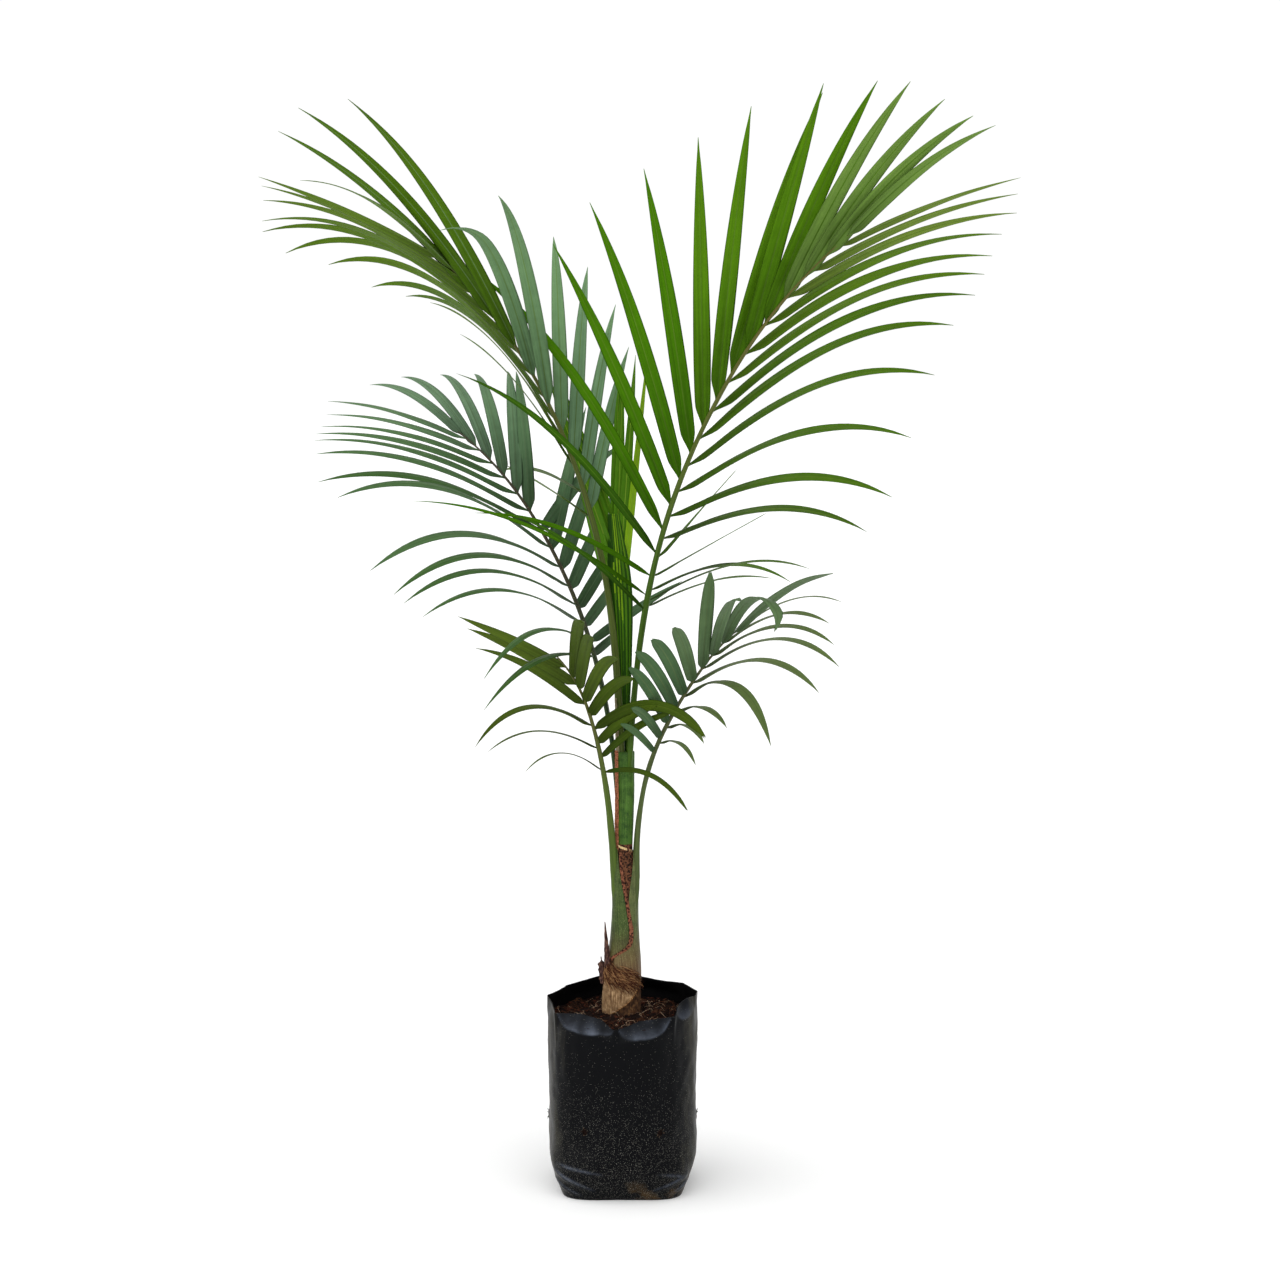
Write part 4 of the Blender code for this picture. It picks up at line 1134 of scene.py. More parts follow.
def stalk(pile, name, frond, line, chance):
    """Petiole and rachis, from the main sheath or drawn down against the stem."""
    total = frond["petiole"] + frond["rachis"]
    outside = frond["start"] < SHEATH_TOP
    low = 0.0 if outside else STALK_START
    rings = sunk_rings(name, line) if outside else []
    shares = [0.0] * len(rings)
    for k in range(STALK_STATIONS + 1):
        s = low + (STALK_END - low) * k / STALK_STATIONS
        point, tangent, normal, side = rib_at(line, s)
        wide = stalk_width(name, s) * (1 + STALK_WAVE * math.sin(40 * s + chance.uniform(-0.4, 0.4)))
        if low > 0:
            wide *= blend(0.5, 1.0, smooth((s - low) / STALK_NECK))
        channel = STALK_CHANNEL * smooth((s - 0.02) / 0.1)
        rings.append(stalk_ring(point, normal, side, wide, wide * STALK_DEPTH, channel))
        shares.append(s)

    def places(k, j):
        return (j / STALK_POINTS, shares[k]), (j / STALK_POINTS * 0.03, shares[k] * total)

    pile.tube(rings, 0, places)


def frond_pieces(name, line, leaflets):
    """A frond's leaflets, tinted along their rows, and its rib."""
    dress = DRESS[name]
    gloss = dress["gloss"]
    looks = []
    midribs = []
    for side, screens in dress["rows"].items():
        row = [tone(*screen) for screen in screens]
        label = "near" if side > 0 else "far"
        for k in range(TINT_STEPS):
            colour = tuple(profile([c[i] for c in row], k / (TINT_STEPS - 1)) for i in range(3))
            looks.append(leaf_look(f"{name}_{label}_{k}", colour, gloss))
        middle = [sum(c[i] for c in row) / len(row) for i in range(3)]
        midribs.append(leaf_look(f"{name}_midrib_{label}", scaled(middle, 1.25, 1.15, 1.1), gloss, veins=0.3))
    chance = random.Random(FRONDS[name]["seed"] + 100)
    pile = Pile()
    for leaflet in leaflets:
        q, side = leaflet[0], leaflet[1]
        row = 0 if side > 0 else 1
        tint = round(q * (TINT_STEPS - 1) + chance.uniform(-0.45, 0.45))
        tint = min(max(tint, 0), TINT_STEPS - 1)
        fine_blade(pile, name, line, leaflet, tint + row * TINT_STEPS, len(looks) + row, chance)
    piece(f"{name}_leaflets", pile, looks + midribs, [name], dress["slot"])
    pile = Pile()
    stalk(pile, name, FRONDS[name], line, chance)
    piece(f"{name}_rib", pile, [stalk_look(f"{name}_rib", *dress["rib"])], [], dress["slot"])


def spear(frond, line, leaflets):
    """Unopened leaf: a flat bundle of folded pleats, with the first leaflets parting from its top."""
    # one young green in three tones for painted light and shade on the pleats: lit, half lit and shaded
    looks = [leaf_look(f"young_pleat_{label}", tone(*screen), 0.05, along=0.0, across=0.0)
             for label, screen in (("light", (118, 158, 26)), ("mid", (70, 114, 18)), ("dark", (36, 70, 14)))]
    looks.append(leaf_look("young_midrib", tone(130, 165, 50), 0.06))
    pile = Pile()
    around = 4 * SPEAR_FOLDS
    rows = []
    shades = []
    total = frond["petiole"] + frond["rachis"]
    for k in range(SPEAR_STATIONS + 1):
        s = SPEAR_FOOT + (1 - SPEAR_FOOT) * k / SPEAR_STATIONS
        point, tangent, normal, side = rib_at(line, s)
        wide = profile(frond["girth"], s)
        deep = SPEAR_FLAT * wide + SPEAR_THICK
        ring = []
        for front in (1, -1):
            for j in range(2 * SPEAR_FOLDS):
                c = (j / SPEAR_FOLDS - 1) * front
                crest = (PLEAT_HEIGHT if j % 2 else 0.0) * smooth((s - 0.15) / 0.3) * wide / PLEAT_FULL_WIDTH
                drift = SPEAR_DRIFT * (1 - c * c) * math.sin(7 * c + 5 * s)
                y = deep * math.sqrt(max(1 - c * c, 0.0)) + crest
                ring.append(point + side * (wide * (c + drift)) + normal * (y * front))
        rows.append(ring)
        shades.append([(spot.x - point.x) / wide for spot in ring])

    def kinds(k, j):
        """Painted light and shade: lit stripes that taper downwards, dim ones below them, and shaded pleats
        at the left.
        """
        across = 0.5 * (shades[k][j] + shades[k][(j + 1) % around])
        z = rows[k][0].z
        for (low, high), first in zip(SPEAR_BRIGHT, SPEAR_BRIGHT_FROM):
            open_share = smooth((z - first) / SPEAR_TAPER)
            if open_share > 0 and blend(high, low, open_share) < across < high:
                # darker faces every few pleats, painted shade in the folds between them
                return (0, 0, 1, 2)[j % 4]
        if across > SPEAR_BRIGHT[0][0] and z > SPEAR_DIM_FROM + SPEAR_DIM_WAVE * math.sin(9 * across):
            return (1, 1, 2, 2)[j % 4]
        return 2

    def places(k, j):
        return (j / around, 0.5), (j * 0.002, k / SPEAR_STATIONS * total)

    pile.tube(rows, kinds, places)
    chance = random.Random(SPEAR_SEED)
    for leaflet in leaflets:
        q, side, *rest, width, shape, number = leaflet
        # the first far leaflet takes the lit tone, a painted highlight, and is narrower
        bright = side < 0 and number == 0
        slim = (q, side, *rest, width * (BRIGHT_PLEAT_WIDTH if bright else 1.0), shape, number)
        fine_blade(pile, "spear_leaf", line, slim, 0 if bright else 1, 3, chance)
    piece("spear_leaf_pleats", pile, looks, ["spear_leaf"], "leaf_young", mend=True)


# stem


def stem_radius(height):
    return between(list(zip(STEM_HEIGHTS, STEM_RADII)), height)


def stem_shift(height):
    return between(list(zip(STEM_HEIGHTS, STEM_SHIFT)), height)


def on_stem(z):
    """Centre and half sizes of the stem at a height, narrowing to the main sheath above its top."""
    height = z - SOIL_HEIGHT - GAP
    x, r = stem_shift(height), stem_radius(height)
    if z > STEM_TOP:
        share = smooth((z - STEM_TOP) / STEM_NARROWING)
        wide, deep = (blend(r, half, share) for half in STEM_NECK)
        return blend(x, SHEATH_CENTRE[0], share), 0.0, wide, deep
    return x, 0.0, r, r


def on_sheath(z):
    """Centre and half sizes of the main sheath at a height."""
    share = (z - SHEATH_FOOT) / (SHEATH_TOP - SHEATH_FOOT)
    return profile(SHEATH_CENTRE, share), 0.0, profile(SHEATH_WIDE, share), profile(SHEATH_DEEP, share)


def on_petiole(z):
    """Centre and half sizes of the tall left petiole, on which the dry edge runs out."""
    share, centre = next((s, point) for s, point, *rest in LINES["frond_tall_left"] if point.z >= z)
    wide = stalk_width("frond_tall_left", share)
    return centre.x, centre.y, wide, wide


def wrap(pile, kind, carrier, relief, span, left, right, lift, thick, across=30, up=44, rag=0.0, slope=0.0):
    """A piece of sheath that lies round its carrier between two margins, given as angles up its height."""
    outer = []
    inner = []
    spots = []
    for k in range(up + 1):
        s = k / up
        low, high = profile(left, s), profile(right, s)
        height = span[0] + (span[1] - span[0]) * s
        row_out = []
        row_in = []
        row_spots = []
        for j in range(across + 1):
            t = j / across
            fray = rag * noise.noise(Vector((height * 400, t * 3, 7.0)))
            a = math.radians(low + (high - low) * t + fray * (1 if t > 0.5 else -1) * abs(2 * t - 1) ** 6)
            uneven = rag * RAG_RISE * noise.noise(Vector((t * 40, s * 2, 1.0)))
            z = height + uneven * (1 if s in (0, 1) else 0.3) + slope * (t - 0.5)
            x, y, wide, deep = carrier(z)
            rim = max(abs(2 * t - 1), abs(2 * s - 1))
            body = thick * (1 - MARGIN_THINNING * rim ** 10)
            out = profile(lift, s)
            for row, far in ((row_out, out + relief(a, z)), (row_in, out - body)):
                row.append(Vector((x + (wide + far) * math.cos(a), y + (deep + far) * math.sin(a), z)))
            row_spots.append(((t, s), (a * wide, z)))
        outer.append(pile.ring(row_out))
        inner.append(pile.ring(row_in))
        spots.append(row_spots)

    def places(k, j):
        return spots[k][j]

    pile.grid(outer, kind, places)
    pile.grid(inner, kind, places, flip=True)
    for j in range(across):
        pile.add([inner[0][j], inner[0][j + 1], outer[0][j + 1], outer[0][j]], kind)
        pile.add([outer[-1][j], outer[-1][j + 1], inner[-1][j + 1], inner[-1][j]], kind)
    for k in range(up):
        pile.add([outer[k][0], outer[k + 1][0], inner[k + 1][0], inner[k][0]], kind)
        pile.add([inner[k][-1], inner[k + 1][-1], outer[k + 1][-1], outer[k][-1]], kind)


def stringy(a, z):
    """Relief of fibres that run up the stem."""
    coarse = noise.noise(Vector((a * 22, z * 45, 0.0)))
    fine = noise.noise(Vector((a * 60, z * 90, 4.0)))
    return STRINGY_RELIEF[0] * coarse + STRINGY_RELIEF[1] * fine


def soft(a, z):
    """Relief of a smooth sheath."""
    coarse = noise.noise(Vector((a * 5, z * 30, 2.0)))
    fine = noise.noise(Vector((a * 30, z * 60, 9.0)))
    return SOFT_RELIEF[0] * coarse + SOFT_RELIEF[1] * fine


def column(pile, skin, low, high, pattern, spot):
    """Closed skin between two heights, whose points a function gives by angle and height."""
    count, around = skin
    rings = []
    for k in range(count):
        z = blend(low, high, k / (count - 1))
        rings.append([spot(ROUND * j / around, z) for j in range(around)])

    def places(k, j):
        share = (j / around, k / (count - 1))
        return share, (share[0] * pattern[0], share[1] * pattern[1])

    pile.tube(rings, 0, places)


def stem():
    """Short trunk of overlapping leaf bases: both low fronds' sheaths, their felted margins, the collar."""
    looks = [
        fibre_look("stem_fibre_dark", (24, 16, 12), (70, 46, 30), (128, 94, 60)),
        sheath_look("left_sheath", (64, 80, 36), (38, 52, 22), (134, 142, 98), foot=(96, 78, 50)),
        sheath_look("right_sheath", (90, 98, 56), (58, 68, 36), (140, 136, 98), foot=(108, 82, 56)),
        speckle_look("sheath_margin", (116, 72, 52), (40, 20, 15), 380.0, 0.52),
        speckle_look("sheath_net", (88, 56, 38), (20, 12, 9), 420.0, 0.50),
        fibre_look("cut_collar", (150, 120, 76), (198, 172, 124), (226, 206, 160), 900.0, 300.0),
        fibre_look("slit_shadow", (14, 9, 8), (26, 17, 14), (44, 28, 22)),
    ]
    pile = Pile()

    def spot(a, z):
        x, y, wide, deep = on_stem(max(z, SOIL_HEIGHT + GAP))
        return polar(wide - STEM_INSET + stringy(a, z) * 1.6, a, z, x)

    column(pile, STEM_SKIN, SOIL_HEIGHT - STEM_OVERLAP, STEM_TOP, STEM_PATTERN, spot)
    wrap(pile, 2, on_stem, soft, **RIGHT_SHEATH)
    wrap(pile, 1, on_stem, soft, **LEFT_SHEATH)
    # painted shadow: a dark strip in the slit at the edge of the left sheath
    wrap(pile, 6, on_stem, stringy, **SLIT_SHADOW)
    wrap(pile, 3, on_stem, stringy, **SHEATH_MARGIN)
    wrap(pile, 4, on_stem, stringy, **SHEATH_NET)
    wrap(pile, 5, on_sheath, stringy, **CUT_COLLAR)
    piece("stem_base_sheaths", pile, looks, ["stem_base"], "fibrous_base", mend=True)


def leaf_base():
    """Old leaf base, cut off short: woody streaks with a pale rim, and coarse fibres over its top."""
    looks = [
        fibre_look("cut_base_wood", (78, 56, 38), (128, 100, 70), (178, 148, 110), 1300.0, 45.0),
        fibre_look("cut_base_rim", (60, 38, 24), (120, 82, 50), (190, 150, 100), 700.0, 400.0),
        crumb_look("base_fibre_pale", 146, 108, 72),
        crumb_look("base_fibre_brown", 72, 40, 26),
    ]
    pile = Pile()
    wrap(pile, 0, on_stem, stringy, **LEAF_BASE)
    wrap(pile, 1, on_stem, stringy, **LEAF_BASE_RIM)
    chance = random.Random(FRINGE_SEED)
    for k in range(FRINGE_FIBRES):
        start = chance.uniform(*FRINGE_ANGLES)
        z = FRINGE_TOP - FRINGE_DEPTH * chance.random() - FRINGE_SLOPE * max(start + 150, 0) / 105
        sweep = chance.uniform(*FRINGE_SWEEPS)
        fall = chance.uniform(*FRINGE_FALLS)
        hump = chance.uniform(*FRINGE_HUMPS)
        points = []
        for j in range(FRINGE_STEPS + 1):
            f = j / FRINGE_STEPS
            height = z - fall * f + FRINGE_WAVE * math.sin(3 * f + k)
            x, y, wide, deep = on_stem(height)
            r = wide + FRINGE_GAP + hump * math.sin(math.pi * f) + FRINGE_SPREAD * f
            points.append(polar(r, math.radians(start + sweep * f), height, x))
        strand(pile, points, chance.uniform(*FRINGE_RADII), 2 if chance.random() < FRINGE_PALE else 3)
    piece("cut_leaf_base_wood", pile, looks, ["cut_leaf_base"], "fibrous_base", mend=True)


def strand(pile, points, radius, kind):
    """Thin fibre along points, fading to a point at both ends."""
    rings = []
    count = len(points)
    for k, point in enumerate(points):
        ahead = (points[min(k + 1, count - 1)] - points[max(k - 1, 0)]).normalized()
        one = ahead.orthogonal().normalized()
        two = ahead.cross(one)
        r = radius * (0.35 + 0.65 * math.sin(math.pi * (k + 0.5) / count))
        rings.append([point + one * r, point + two * r, point - one * r, point - two * r])
    pile.tube(rings, kind)


def stubs():
    """Two broken old petioles left of the stem: a jagged spine and a short knob with a spike."""
    look = fibre_look("dead_stub", (24, 14, 14), (64, 42, 38), (122, 90, 74), 900.0, 120.0)
    for name, node, turn, foot, length, wide, lean, taper, off, place in STUBS:
        pile = Pile()
        rings = []
        for k in range(STUB_RINGS):
            s = k / (STUB_RINGS - 1)
            r = stem_radius(foot) + off + wide + math.tan(math.radians(lean)) * length * s
            height = SOIL_HEIGHT + GAP + foot + length * s
            centre = polar(r, math.radians(turn), height, stem_shift(foot))
            size = wide * (1 - taper * s)
            if node == "dead_petiole_knob":
                size *= blend(1.0, SPIKE_WIDTH, smooth((s - KNOB_SPIKE) / SPIKE_RUN))
            ring = []
            for j in range(STUB_POINTS):
                b = ROUND * j / STUB_POINTS
                jag = 1 + STUB_JAG * noise.noise(polar(2, b, s * 9 + place))
                ring.append(centre + polar(size * jag, b, 0.0))
            rings.append(ring)
        pile.tube(rings, 0)
        piece(name, pile, [look], [node], "dry_fibre")


def sheaths():
    """Main sheath with its veins, and the felted dry edge down its left side."""
    pile = Pile()

    def spot(a, z):
        x, y, wide, deep = on_sheath(max(z, SHEATH_FOOT))
        r = RIDGE_HEIGHT * math.sin(a * SHEATH_RIDGES + 2 * noise.noise(UP * (z * 20))) + soft(a, z)
        return Vector((x + (wide + r) * math.cos(a), y + (deep + r) * math.sin(a), z))

    column(pile, SHEATH_SKIN, SHEATH_FOOT - SHEATH_SINK, SHEATH_TOP + STEM_OVERLAP, SHEATH_PATTERN, spot)
    green = sheath_look("main_sheath_green", (66, 100, 36), (32, 60, 18), (118, 140, 74))
    piece("main_sheath_skin", pile, [green], ["main_sheath"], "green_sheath")
    felt = speckle_look("dry_edge", (158, 98, 70), (58, 26, 20), 620.0, 0.55)
    pale = fibre_look("dry_edge_top", (96, 88, 66), (136, 128, 98), (168, 158, 124))
    pile = Pile()
    wrap(pile, 0, on_sheath, stringy, **DRY_EDGE)
    wrap(pile, 1, on_petiole, stringy, **DRY_EDGE_TOP)
    piece("dry_edge_felt", pile, [felt, pale], ["sheath_fibre_strip"], "dry_fibre", mend=True)


# growing medium and bag


def bag_radius(angle, height):
    """Outer radius of the CAD source's bag."""
    foot = smooth(1 - height / BAG_SQUARE)
    wide = BAG_RADIUS + (BAG_FOOT_WIDE - BAG_RADIUS) * foot
    deep = BAG_RADIUS + (BAG_FOOT_DEEP - BAG_RADIUS) * foot
    power = 2.0 + 2.2 * foot
    across = abs(math.cos(angle) / wide) ** power + abs(math.sin(angle) / deep) ** power
    radius = across ** (-1 / power)
    radius += (0.0010 * math.cos(5 * angle + 0.7) + 0.0007 * math.cos(3 * angle + 2.1)) * (1 - foot)
    top = max(0.0, height / RIM_HEIGHT - 0.75) / 0.25
    for middle, inward in RIM_FLATS:
        radius -= inward * top * math.exp(-((math.degrees(angle) - middle) / 20) ** 2)
    if height < BAG_CORNER:
        radius -= BAG_INSET * (1 - height / BAG_CORNER) ** BAG_INSET_CURVE
    return radius


def rim_at(angle):
    """Height of the film's rim, which runs straight between its corners."""
    return between(RIM_LINE, turned(angle))


def rim_sheen(angle, below):
    """Painted sheen on the film where it leans in below its rim: crescents that brighten down to a sharp
    edge.
    """
    sheen = 0.0
    for middle, half, weight in RIM_PANELS:
        off = abs(turned(angle - middle)) / (half * 0.94)
        if off < 1:
            depth = SHEEN_DEPTH * math.sqrt(1 - off * off)
            deeper = min(below / depth, 1.0)
            streak = 0.75 + 0.6 * noise.noise(Vector((angle * 0.11, below * 55, 5.0)))
            bright = weight * streak * (0.10 + 0.90 * deeper ** 2)
            sheen = max(sheen, bright * smooth((depth - below) / SHEEN_EDGE))
    return sheen


def creases_at(angle):
    """The creases that pass an angle: share of the way along each, height, rise and half breadth."""
    for low_angle, low, high_angle, high, tall, broad in CREASES:
        t = (angle - low_angle) / (high_angle - low_angle)
        if 0 < t < 1:
            yield t, low + (high - low) * t ** CREASE_POWER, tall, broad


def crease_light(angle, height):
    """Painted highlight on the upper side of the creases at the film's foot."""
    light = 0.0
    for t, centre, tall, broad in creases_at(angle):
        off = (height - centre - 0.6 * broad) / (0.5 * broad)
        light = max(light, CREASE_LIGHT * math.sin(math.pi * t) * math.exp(-off ** 2))
    return light


def film_radius(angle, height, rim):
    """Radius of the soft film: it bulges and leans in below its rim, and is creased at its foot."""
    radius = bag_radius(math.radians(angle % 360), min(height, RIM_HEIGHT))
    below = rim - height
    for middle, half, weight in RIM_PANELS:
        off = abs(turned(angle - middle)) / half
        if off < 1:
            hold = weight * (1 - off * off)
            radius -= RIM_LEAN * hold * smooth(1 - below / RIM_LEAN_DEPTH)
            radius += RIM_BULGE * hold * math.exp(-((below - BULGE_BELOW) / BULGE_SPAN) ** 2)
    for middle, tall, broad, deep in RIM_FOLDS:
        off = abs(turned(angle - middle)) / broad
        radius += tall * math.exp(-off ** 1.4) * smooth(1 - below / deep)
    for t, centre, tall, broad in creases_at(angle):
        radius += tall * math.sin(math.pi * t) ** 0.7 * math.exp(-((height - centre) / broad) ** 2)
    around = polar(1.0, math.radians(angle), 0.0)
    hold = smooth(height / 0.02)
    radius += FILM_WAVES * hold * noise.noise(around * 2.3 + UP * (height * 13))
    radius += FILM_WRINKLES * hold * noise.noise(around * 7 + UP * (height * 60))
    return radius


def bag():
    """Film of the bag, with its rim line, its folds and its drain holes."""
    bm = bmesh.new()
    rows = []
    sheen = {}
    for k in range(BAG_ROWS):
        row = []
        for j in range(BAG_AROUND):
            angle = -180 + 360 * j / BAG_AROUND
            rim = rim_at(angle)
            height = rim * (k / (BAG_ROWS - 1)) ** BAG_ROW_POWER
            vert = bm.verts.new(polar(film_radius(angle, height, rim), math.radians(angle), height))
            # strength of the painted sheen and the painted crease highlights, kept in the share UV map for
            # the film's colour
            sheen[vert] = max(rim_sheen(angle, rim - height), crease_light(angle, height))
            row.append(vert)
        rows.append(row)
    strips = list(zip(rows, rows[1:]))
    ring = rows[0]
    for share in BASE_SHARES:
        inner = [bm.verts.new((v.co.x * share, v.co.y * share, 0.0)) for v in rows[0]]
        strips.append((inner, ring))
        ring = inner
    for low, high in strips:
        for j in range(BAG_AROUND):
            i = (j + 1) % BAG_AROUND
            bm.faces.new((low[j], low[i], high[i], high[j]))
    bm.faces.new(ring[::-1])
    layer = bm.loops.layers.uv.new("share")
    for face in bm.faces:
        face.smooth = True
        for loop in face.loops:
            loop[layer].uv = (sheen.get(loop.vert, 0.0), 0.0)
    for number in range(HOLE_COUNT):
        open_hole(bm, number)
    bmesh.ops.recalc_face_normals(bm, faces=bm.faces[:])
    mesh = bpy.data.meshes.new("nursery_bag_film")
    bm.to_mesh(mesh)
    bm.free()
    mesh.materials.append(film_look())
    mesh.materials.append(inner_film_look())
    obj = in_scene("nursery_bag_film", mesh)
    wall = obj.modifiers.new("film", "SOLIDIFY")
    wall.thickness = FILM
    wall.offset = -1.0
    wall.material_offset = 1
    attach(obj, "root")
    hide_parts("nursery_bag")


def hole_place(number):
    """Centre of a drain hole on the film, and the directions across and out of it."""
    angle = HOLE_FIRST + 360 / HOLE_COUNT * number
    out = polar(1.0, math.radians(angle), 0.0)
    r = film_radius(turned(angle), HOLE_HEIGHT, rim_at(angle))
    return out * r + UP * HOLE_HEIGHT, Vector((-out.y, out.x, 0.0)), out


def hole_radius(number, angle):
    return HOLE_RADIUS * (HOLE_UNEVEN[0] + HOLE_UNEVEN[1] * noise.noise(polar(1.0, angle, number * 3.1)))


def round_hole(across, angle):
    """Direction from a hole's centre towards its edge."""
    return across * math.cos(angle) + UP * math.sin(angle)


def open_hole(bm, number):
    """Takes the film's faces out of a drain hole and draws its edge to a torn ring."""
    centre, across, out = hole_place(number)
    gone = []
    for face in bm.faces:
        offset = face.calc_center_median() - centre
        if max(abs(v) for v in offset) < HOLE_REACH:
            if math.hypot(offset.dot(across), offset.z) < HOLE_RADIUS * 0.9:
                gone.append(face)
    bmesh.ops.delete(bm, geom=gone, context="FACES")
    for vert in bm.verts:
        offset = vert.co - centre
        if offset.length < HOLE_REACH and vert.is_boundary:
            angle = math.atan2(offset.z, offset.dot(across))
            vert.co = centre + round_hole(across, angle) * hole_radius(number, angle)
            vert.co += out * (HOLE_FLARE[0] + HOLE_FLARE[1] * noise.noise(vert.co * 500))


def hole_lips():
    """Frayed lips of the drain holes, with a few torn shreds."""
    pile = Pile()
    chance = random.Random(LIP_SEED)
    for number in range(HOLE_COUNT):
        centre, across, out = hole_place(number)
        rows = []
        for k in range(LIP_POINTS):
            a = ROUND * k / LIP_POINTS
            radial = round_hole(across, a)
            size = LIP_THICK[0] + LIP_THICK[1] * max(noise.noise(Vector((a * 2.5, number, 2.0))), 0.0)
            spot = centre + radial * hole_radius(number, a) + out * LIP_GAP
            rows.append(pile.ring([spot + radial * (size * math.cos(b)) + out * (size * math.sin(b))
                                   for b in LIP_SIDES]))
        pile.grid(rows + [rows[0]], 0, closed=True)
        for k in range(LIP_SHREDS):
            a = chance.uniform(0, NEARLY_ROUND)
            radial = round_hole(across, a)
            start = centre + radial * hole_radius(number, a) + out * (2 * LIP_GAP)
            points = []
            for j in range(SHRED_STEPS + 1):
                f = j / SHRED_STEPS
                reach = SHRED_LENGTH * f * chance.uniform(0.6, 1.2)
                points.append(start + radial * reach + out * (SHRED_LIFT * f))
            strand(pile, points, SHRED_RADIUS, 0)
    piece("drain_hole_lips", pile, [torn_look()], [], "black_film", mend=True)


def soil_level(x, y):
    """Height of the growing medium's surface."""
    lumps = SOIL_LUMPS * noise.noise(Vector((x * 55, y * 55, 0.0)))
    grain = SOIL_GRAIN * noise.noise(Vector((x * 190, y * 190, 3.0)))
    return SOIL_HEIGHT + lumps + grain + SOIL_MOUND * math.exp(-(math.hypot(x, y) / MOUND_RADIUS) ** 2)


def soil_body(pile):
    """Lumpy top, and the sides down inside the bag."""
    rows = [[] for k in range(SOIL_RINGS + len(SOIL_SIDE_ROWS))]
    for j in range(SOIL_AROUND):
        angle = -180 + 360 * j / SOIL_AROUND
        a = math.radians(angle)
        edge = film_radius(angle, SOIL_HEIGHT, rim_at(angle)) - SOIL_GAP
        for k in range(SOIL_RINGS):
            r = edge * (0.02 + 0.98 * k / (SOIL_RINGS - 1))
            rows[k].append(polar(r, a, soil_level(r * math.cos(a), r * math.sin(a))))
        for row, height in zip(rows[SOIL_RINGS:], SOIL_SIDE_ROWS):
            row.append(polar(film_radius(angle, height, rim_at(angle)) - SOIL_SIDE_GAP, a, height))
    pile.tube(rows, 0)


def medium():
    """Growing medium: a lumpy body that fills the bag, with crumbs and fibres on its surface."""
    looks = [
        crumb_look("medium_body", 24, 14, 11),
        crumb_look("medium_dark", 30, 17, 13),
        crumb_look("medium_red", 66, 35, 24),
        crumb_look("medium_tan", 96, 62, 42),
        crumb_look("medium_pale", 190, 162, 134),
    ]
    pile = Pile()
    soil_body(pile)
    chance = random.Random(SOIL_SEED)
    for k in range(CRUMBS):
        r = CRUMB_REACH * math.sqrt(chance.uniform(0.02, 1.0))
        a = chance.uniform(0, ROUND)
        if r > bag_radius(a, SOIL_HEIGHT) - WALL_GAP:
            continue
        size = chance.uniform(*CRUMB_SIZES)
        x, y = r * math.cos(a), r * math.sin(a)
        centre = Vector((x, y, soil_level(x, y) + size * 0.3))
        crumb(pile, centre, size, chance.choice((1, 1, 1, 1, 2, 2)), chance)
    for k in range(STRANDS):
        r = STRAND_REACH * math.sqrt(chance.uniform(0.05, 1.0))
        a = chance.uniform(0, ROUND)
        x, y = r * math.cos(a), r * math.sin(a)
        turn = chance.uniform(0, ROUND)
        bend = chance.uniform(-STRAND_BEND, STRAND_BEND)
        step = chance.uniform(*STRAND_PACES)
        rise = chance.uniform(*STRAND_RISES)
        points = []
        for j in range(STRAND_STEPS + 1):
            lift = STRAND_GAP + rise * math.sin(math.pi * j / STRAND_STEPS)
            points.append(Vector((x, y, soil_level(x, y) + lift)))
            turn += bend / STRAND_STEPS
            x += step * math.cos(turn)
            y += step * math.sin(turn)
        if math.hypot(x, y) < STRAND_LIMIT:
            strand(pile, points, chance.uniform(*STRAND_RADII), chance.choice((1, 2, 3, 3, 4)))
    piece("growing_medium_crumbs", pile, looks, ["growing_medium"], "growing_medium", mend=True)


def crumb(pile, centre, size, kind, chance):
    """Small angular lump."""
    lean = Matrix.Rotation(chance.uniform(0, NEARLY_ROUND), 3, "Z")
    lean = lean @ Matrix.Rotation(chance.uniform(-CRUMB_LEAN, CRUMB_LEAN), 3, "X")
    long = chance.uniform(*CRUMB_LENGTHS)
    rings = []
    for height, wide in CRUMB_RINGS:
        ring = []
        for j in range(CRUMB_SIDES):
            a = ROUND * j / CRUMB_SIDES
            r = size * wide * chance.uniform(*CRUMB_UNEVEN)
            ring.append(centre + lean @ Vector((long * r * math.cos(a), r * math.sin(a), size * height)))
        rings.append(ring)
    pile.tube(rings, kind)


# stage


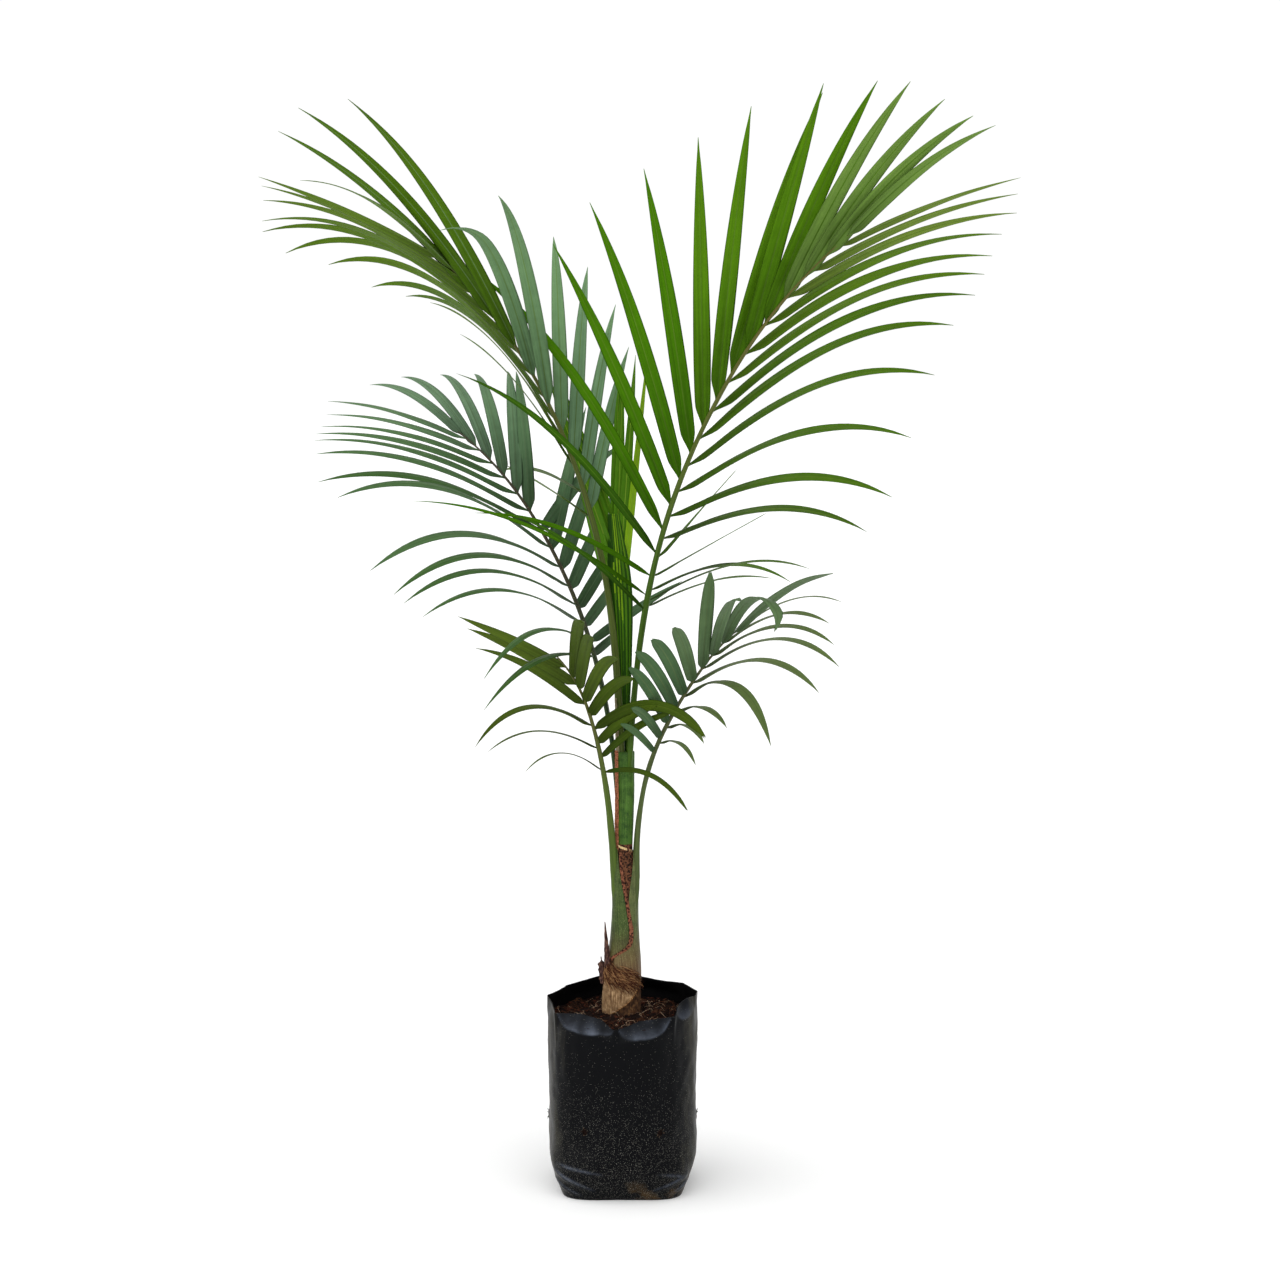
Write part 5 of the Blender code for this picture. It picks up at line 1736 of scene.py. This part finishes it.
def floor():
    look = Look("studio_floor", 0.9, 0.0)
    grain = look.noise(look.place(), 3.0, 2.0, 0.5)
    look.colour(look.mix(look.span(grain, 0.3, 0.7, 0.0, 0.02), (1.0, 1.0, 1.0), (0.97, 0.97, 0.97)))
    mesh = bpy.data.meshes.new("studio_floor")
    points = [polar(FLOOR_RADIUS, ROUND * k / FLOOR_CORNERS, FLOOR_HEIGHT) for k in range(FLOOR_CORNERS)]
    mesh.from_pydata(points, [], [list(range(FLOOR_CORNERS))])
    mesh.materials.append(look.made)
    obj = in_scene("studio_floor", mesh)


def light():
    """White sky, softer above, and one broad soft key from the front left."""
    world = bpy.data.worlds.new("studio")
    bpy.context.scene.world = world
    world.use_nodes = True
    nodes, links = world.node_tree.nodes, world.node_tree.links
    back = nodes["Background"]
    where = nodes.new("ShaderNodeTexCoord")
    split = nodes.new("ShaderNodeSeparateXYZ")
    links.new(where.outputs["Generated"], split.inputs[0])
    fade = nodes.new("ShaderNodeMapRange")
    links.new(split.outputs["Z"], fade.inputs["Value"])
    for socket, value in zip(("From Min", "From Max", "To Min", "To Max"), SKY_FADE + SKY_STRENGTH):
        fade.inputs[socket].default_value = value
    links.new(fade.outputs[0], back.inputs["Strength"])
    back.inputs["Color"].default_value = (1.0, 1.0, 1.0, 1.0)
    key = bpy.data.lights.new("key", "SUN")
    key.energy = KEY_STRENGTH
    key.angle = math.radians(KEY_SIZE)
    in_scene("key", key).rotation_euler = (math.radians(KEY_TILT[0]), math.radians(KEY_TILT[1]), 0.0)


def camera():
    lens = bpy.data.cameras.new("camera")
    lens.lens = CAMERA_LENS
    lens.sensor_width = SENSOR_WIDTH
    seen = in_scene("camera", lens)
    seen.location = CAMERA_PLACE
    seen.rotation_euler = (math.radians(90 - CAMERA_DIP), 0.0, 0.0)
    bpy.context.scene.camera = seen
    bpy.context.scene.view_settings.view_transform = "Standard"


LINES = {name: rib_line(frond) for name, frond in FRONDS.items()}


def main():
    camera()
    light()
    floor()
    bag()
    hole_lips()
    medium()
    stem()
    leaf_base()
    stubs()
    sheaths()
    found = all_leaflets(LINES)
    for name in DRESS:
        frond_pieces(name, LINES[name], found[name])
    spear(FRONDS["spear_leaf"], LINES["spear_leaf"], found["spear_leaf"])
    bpy.context.view_layer.update()


main()
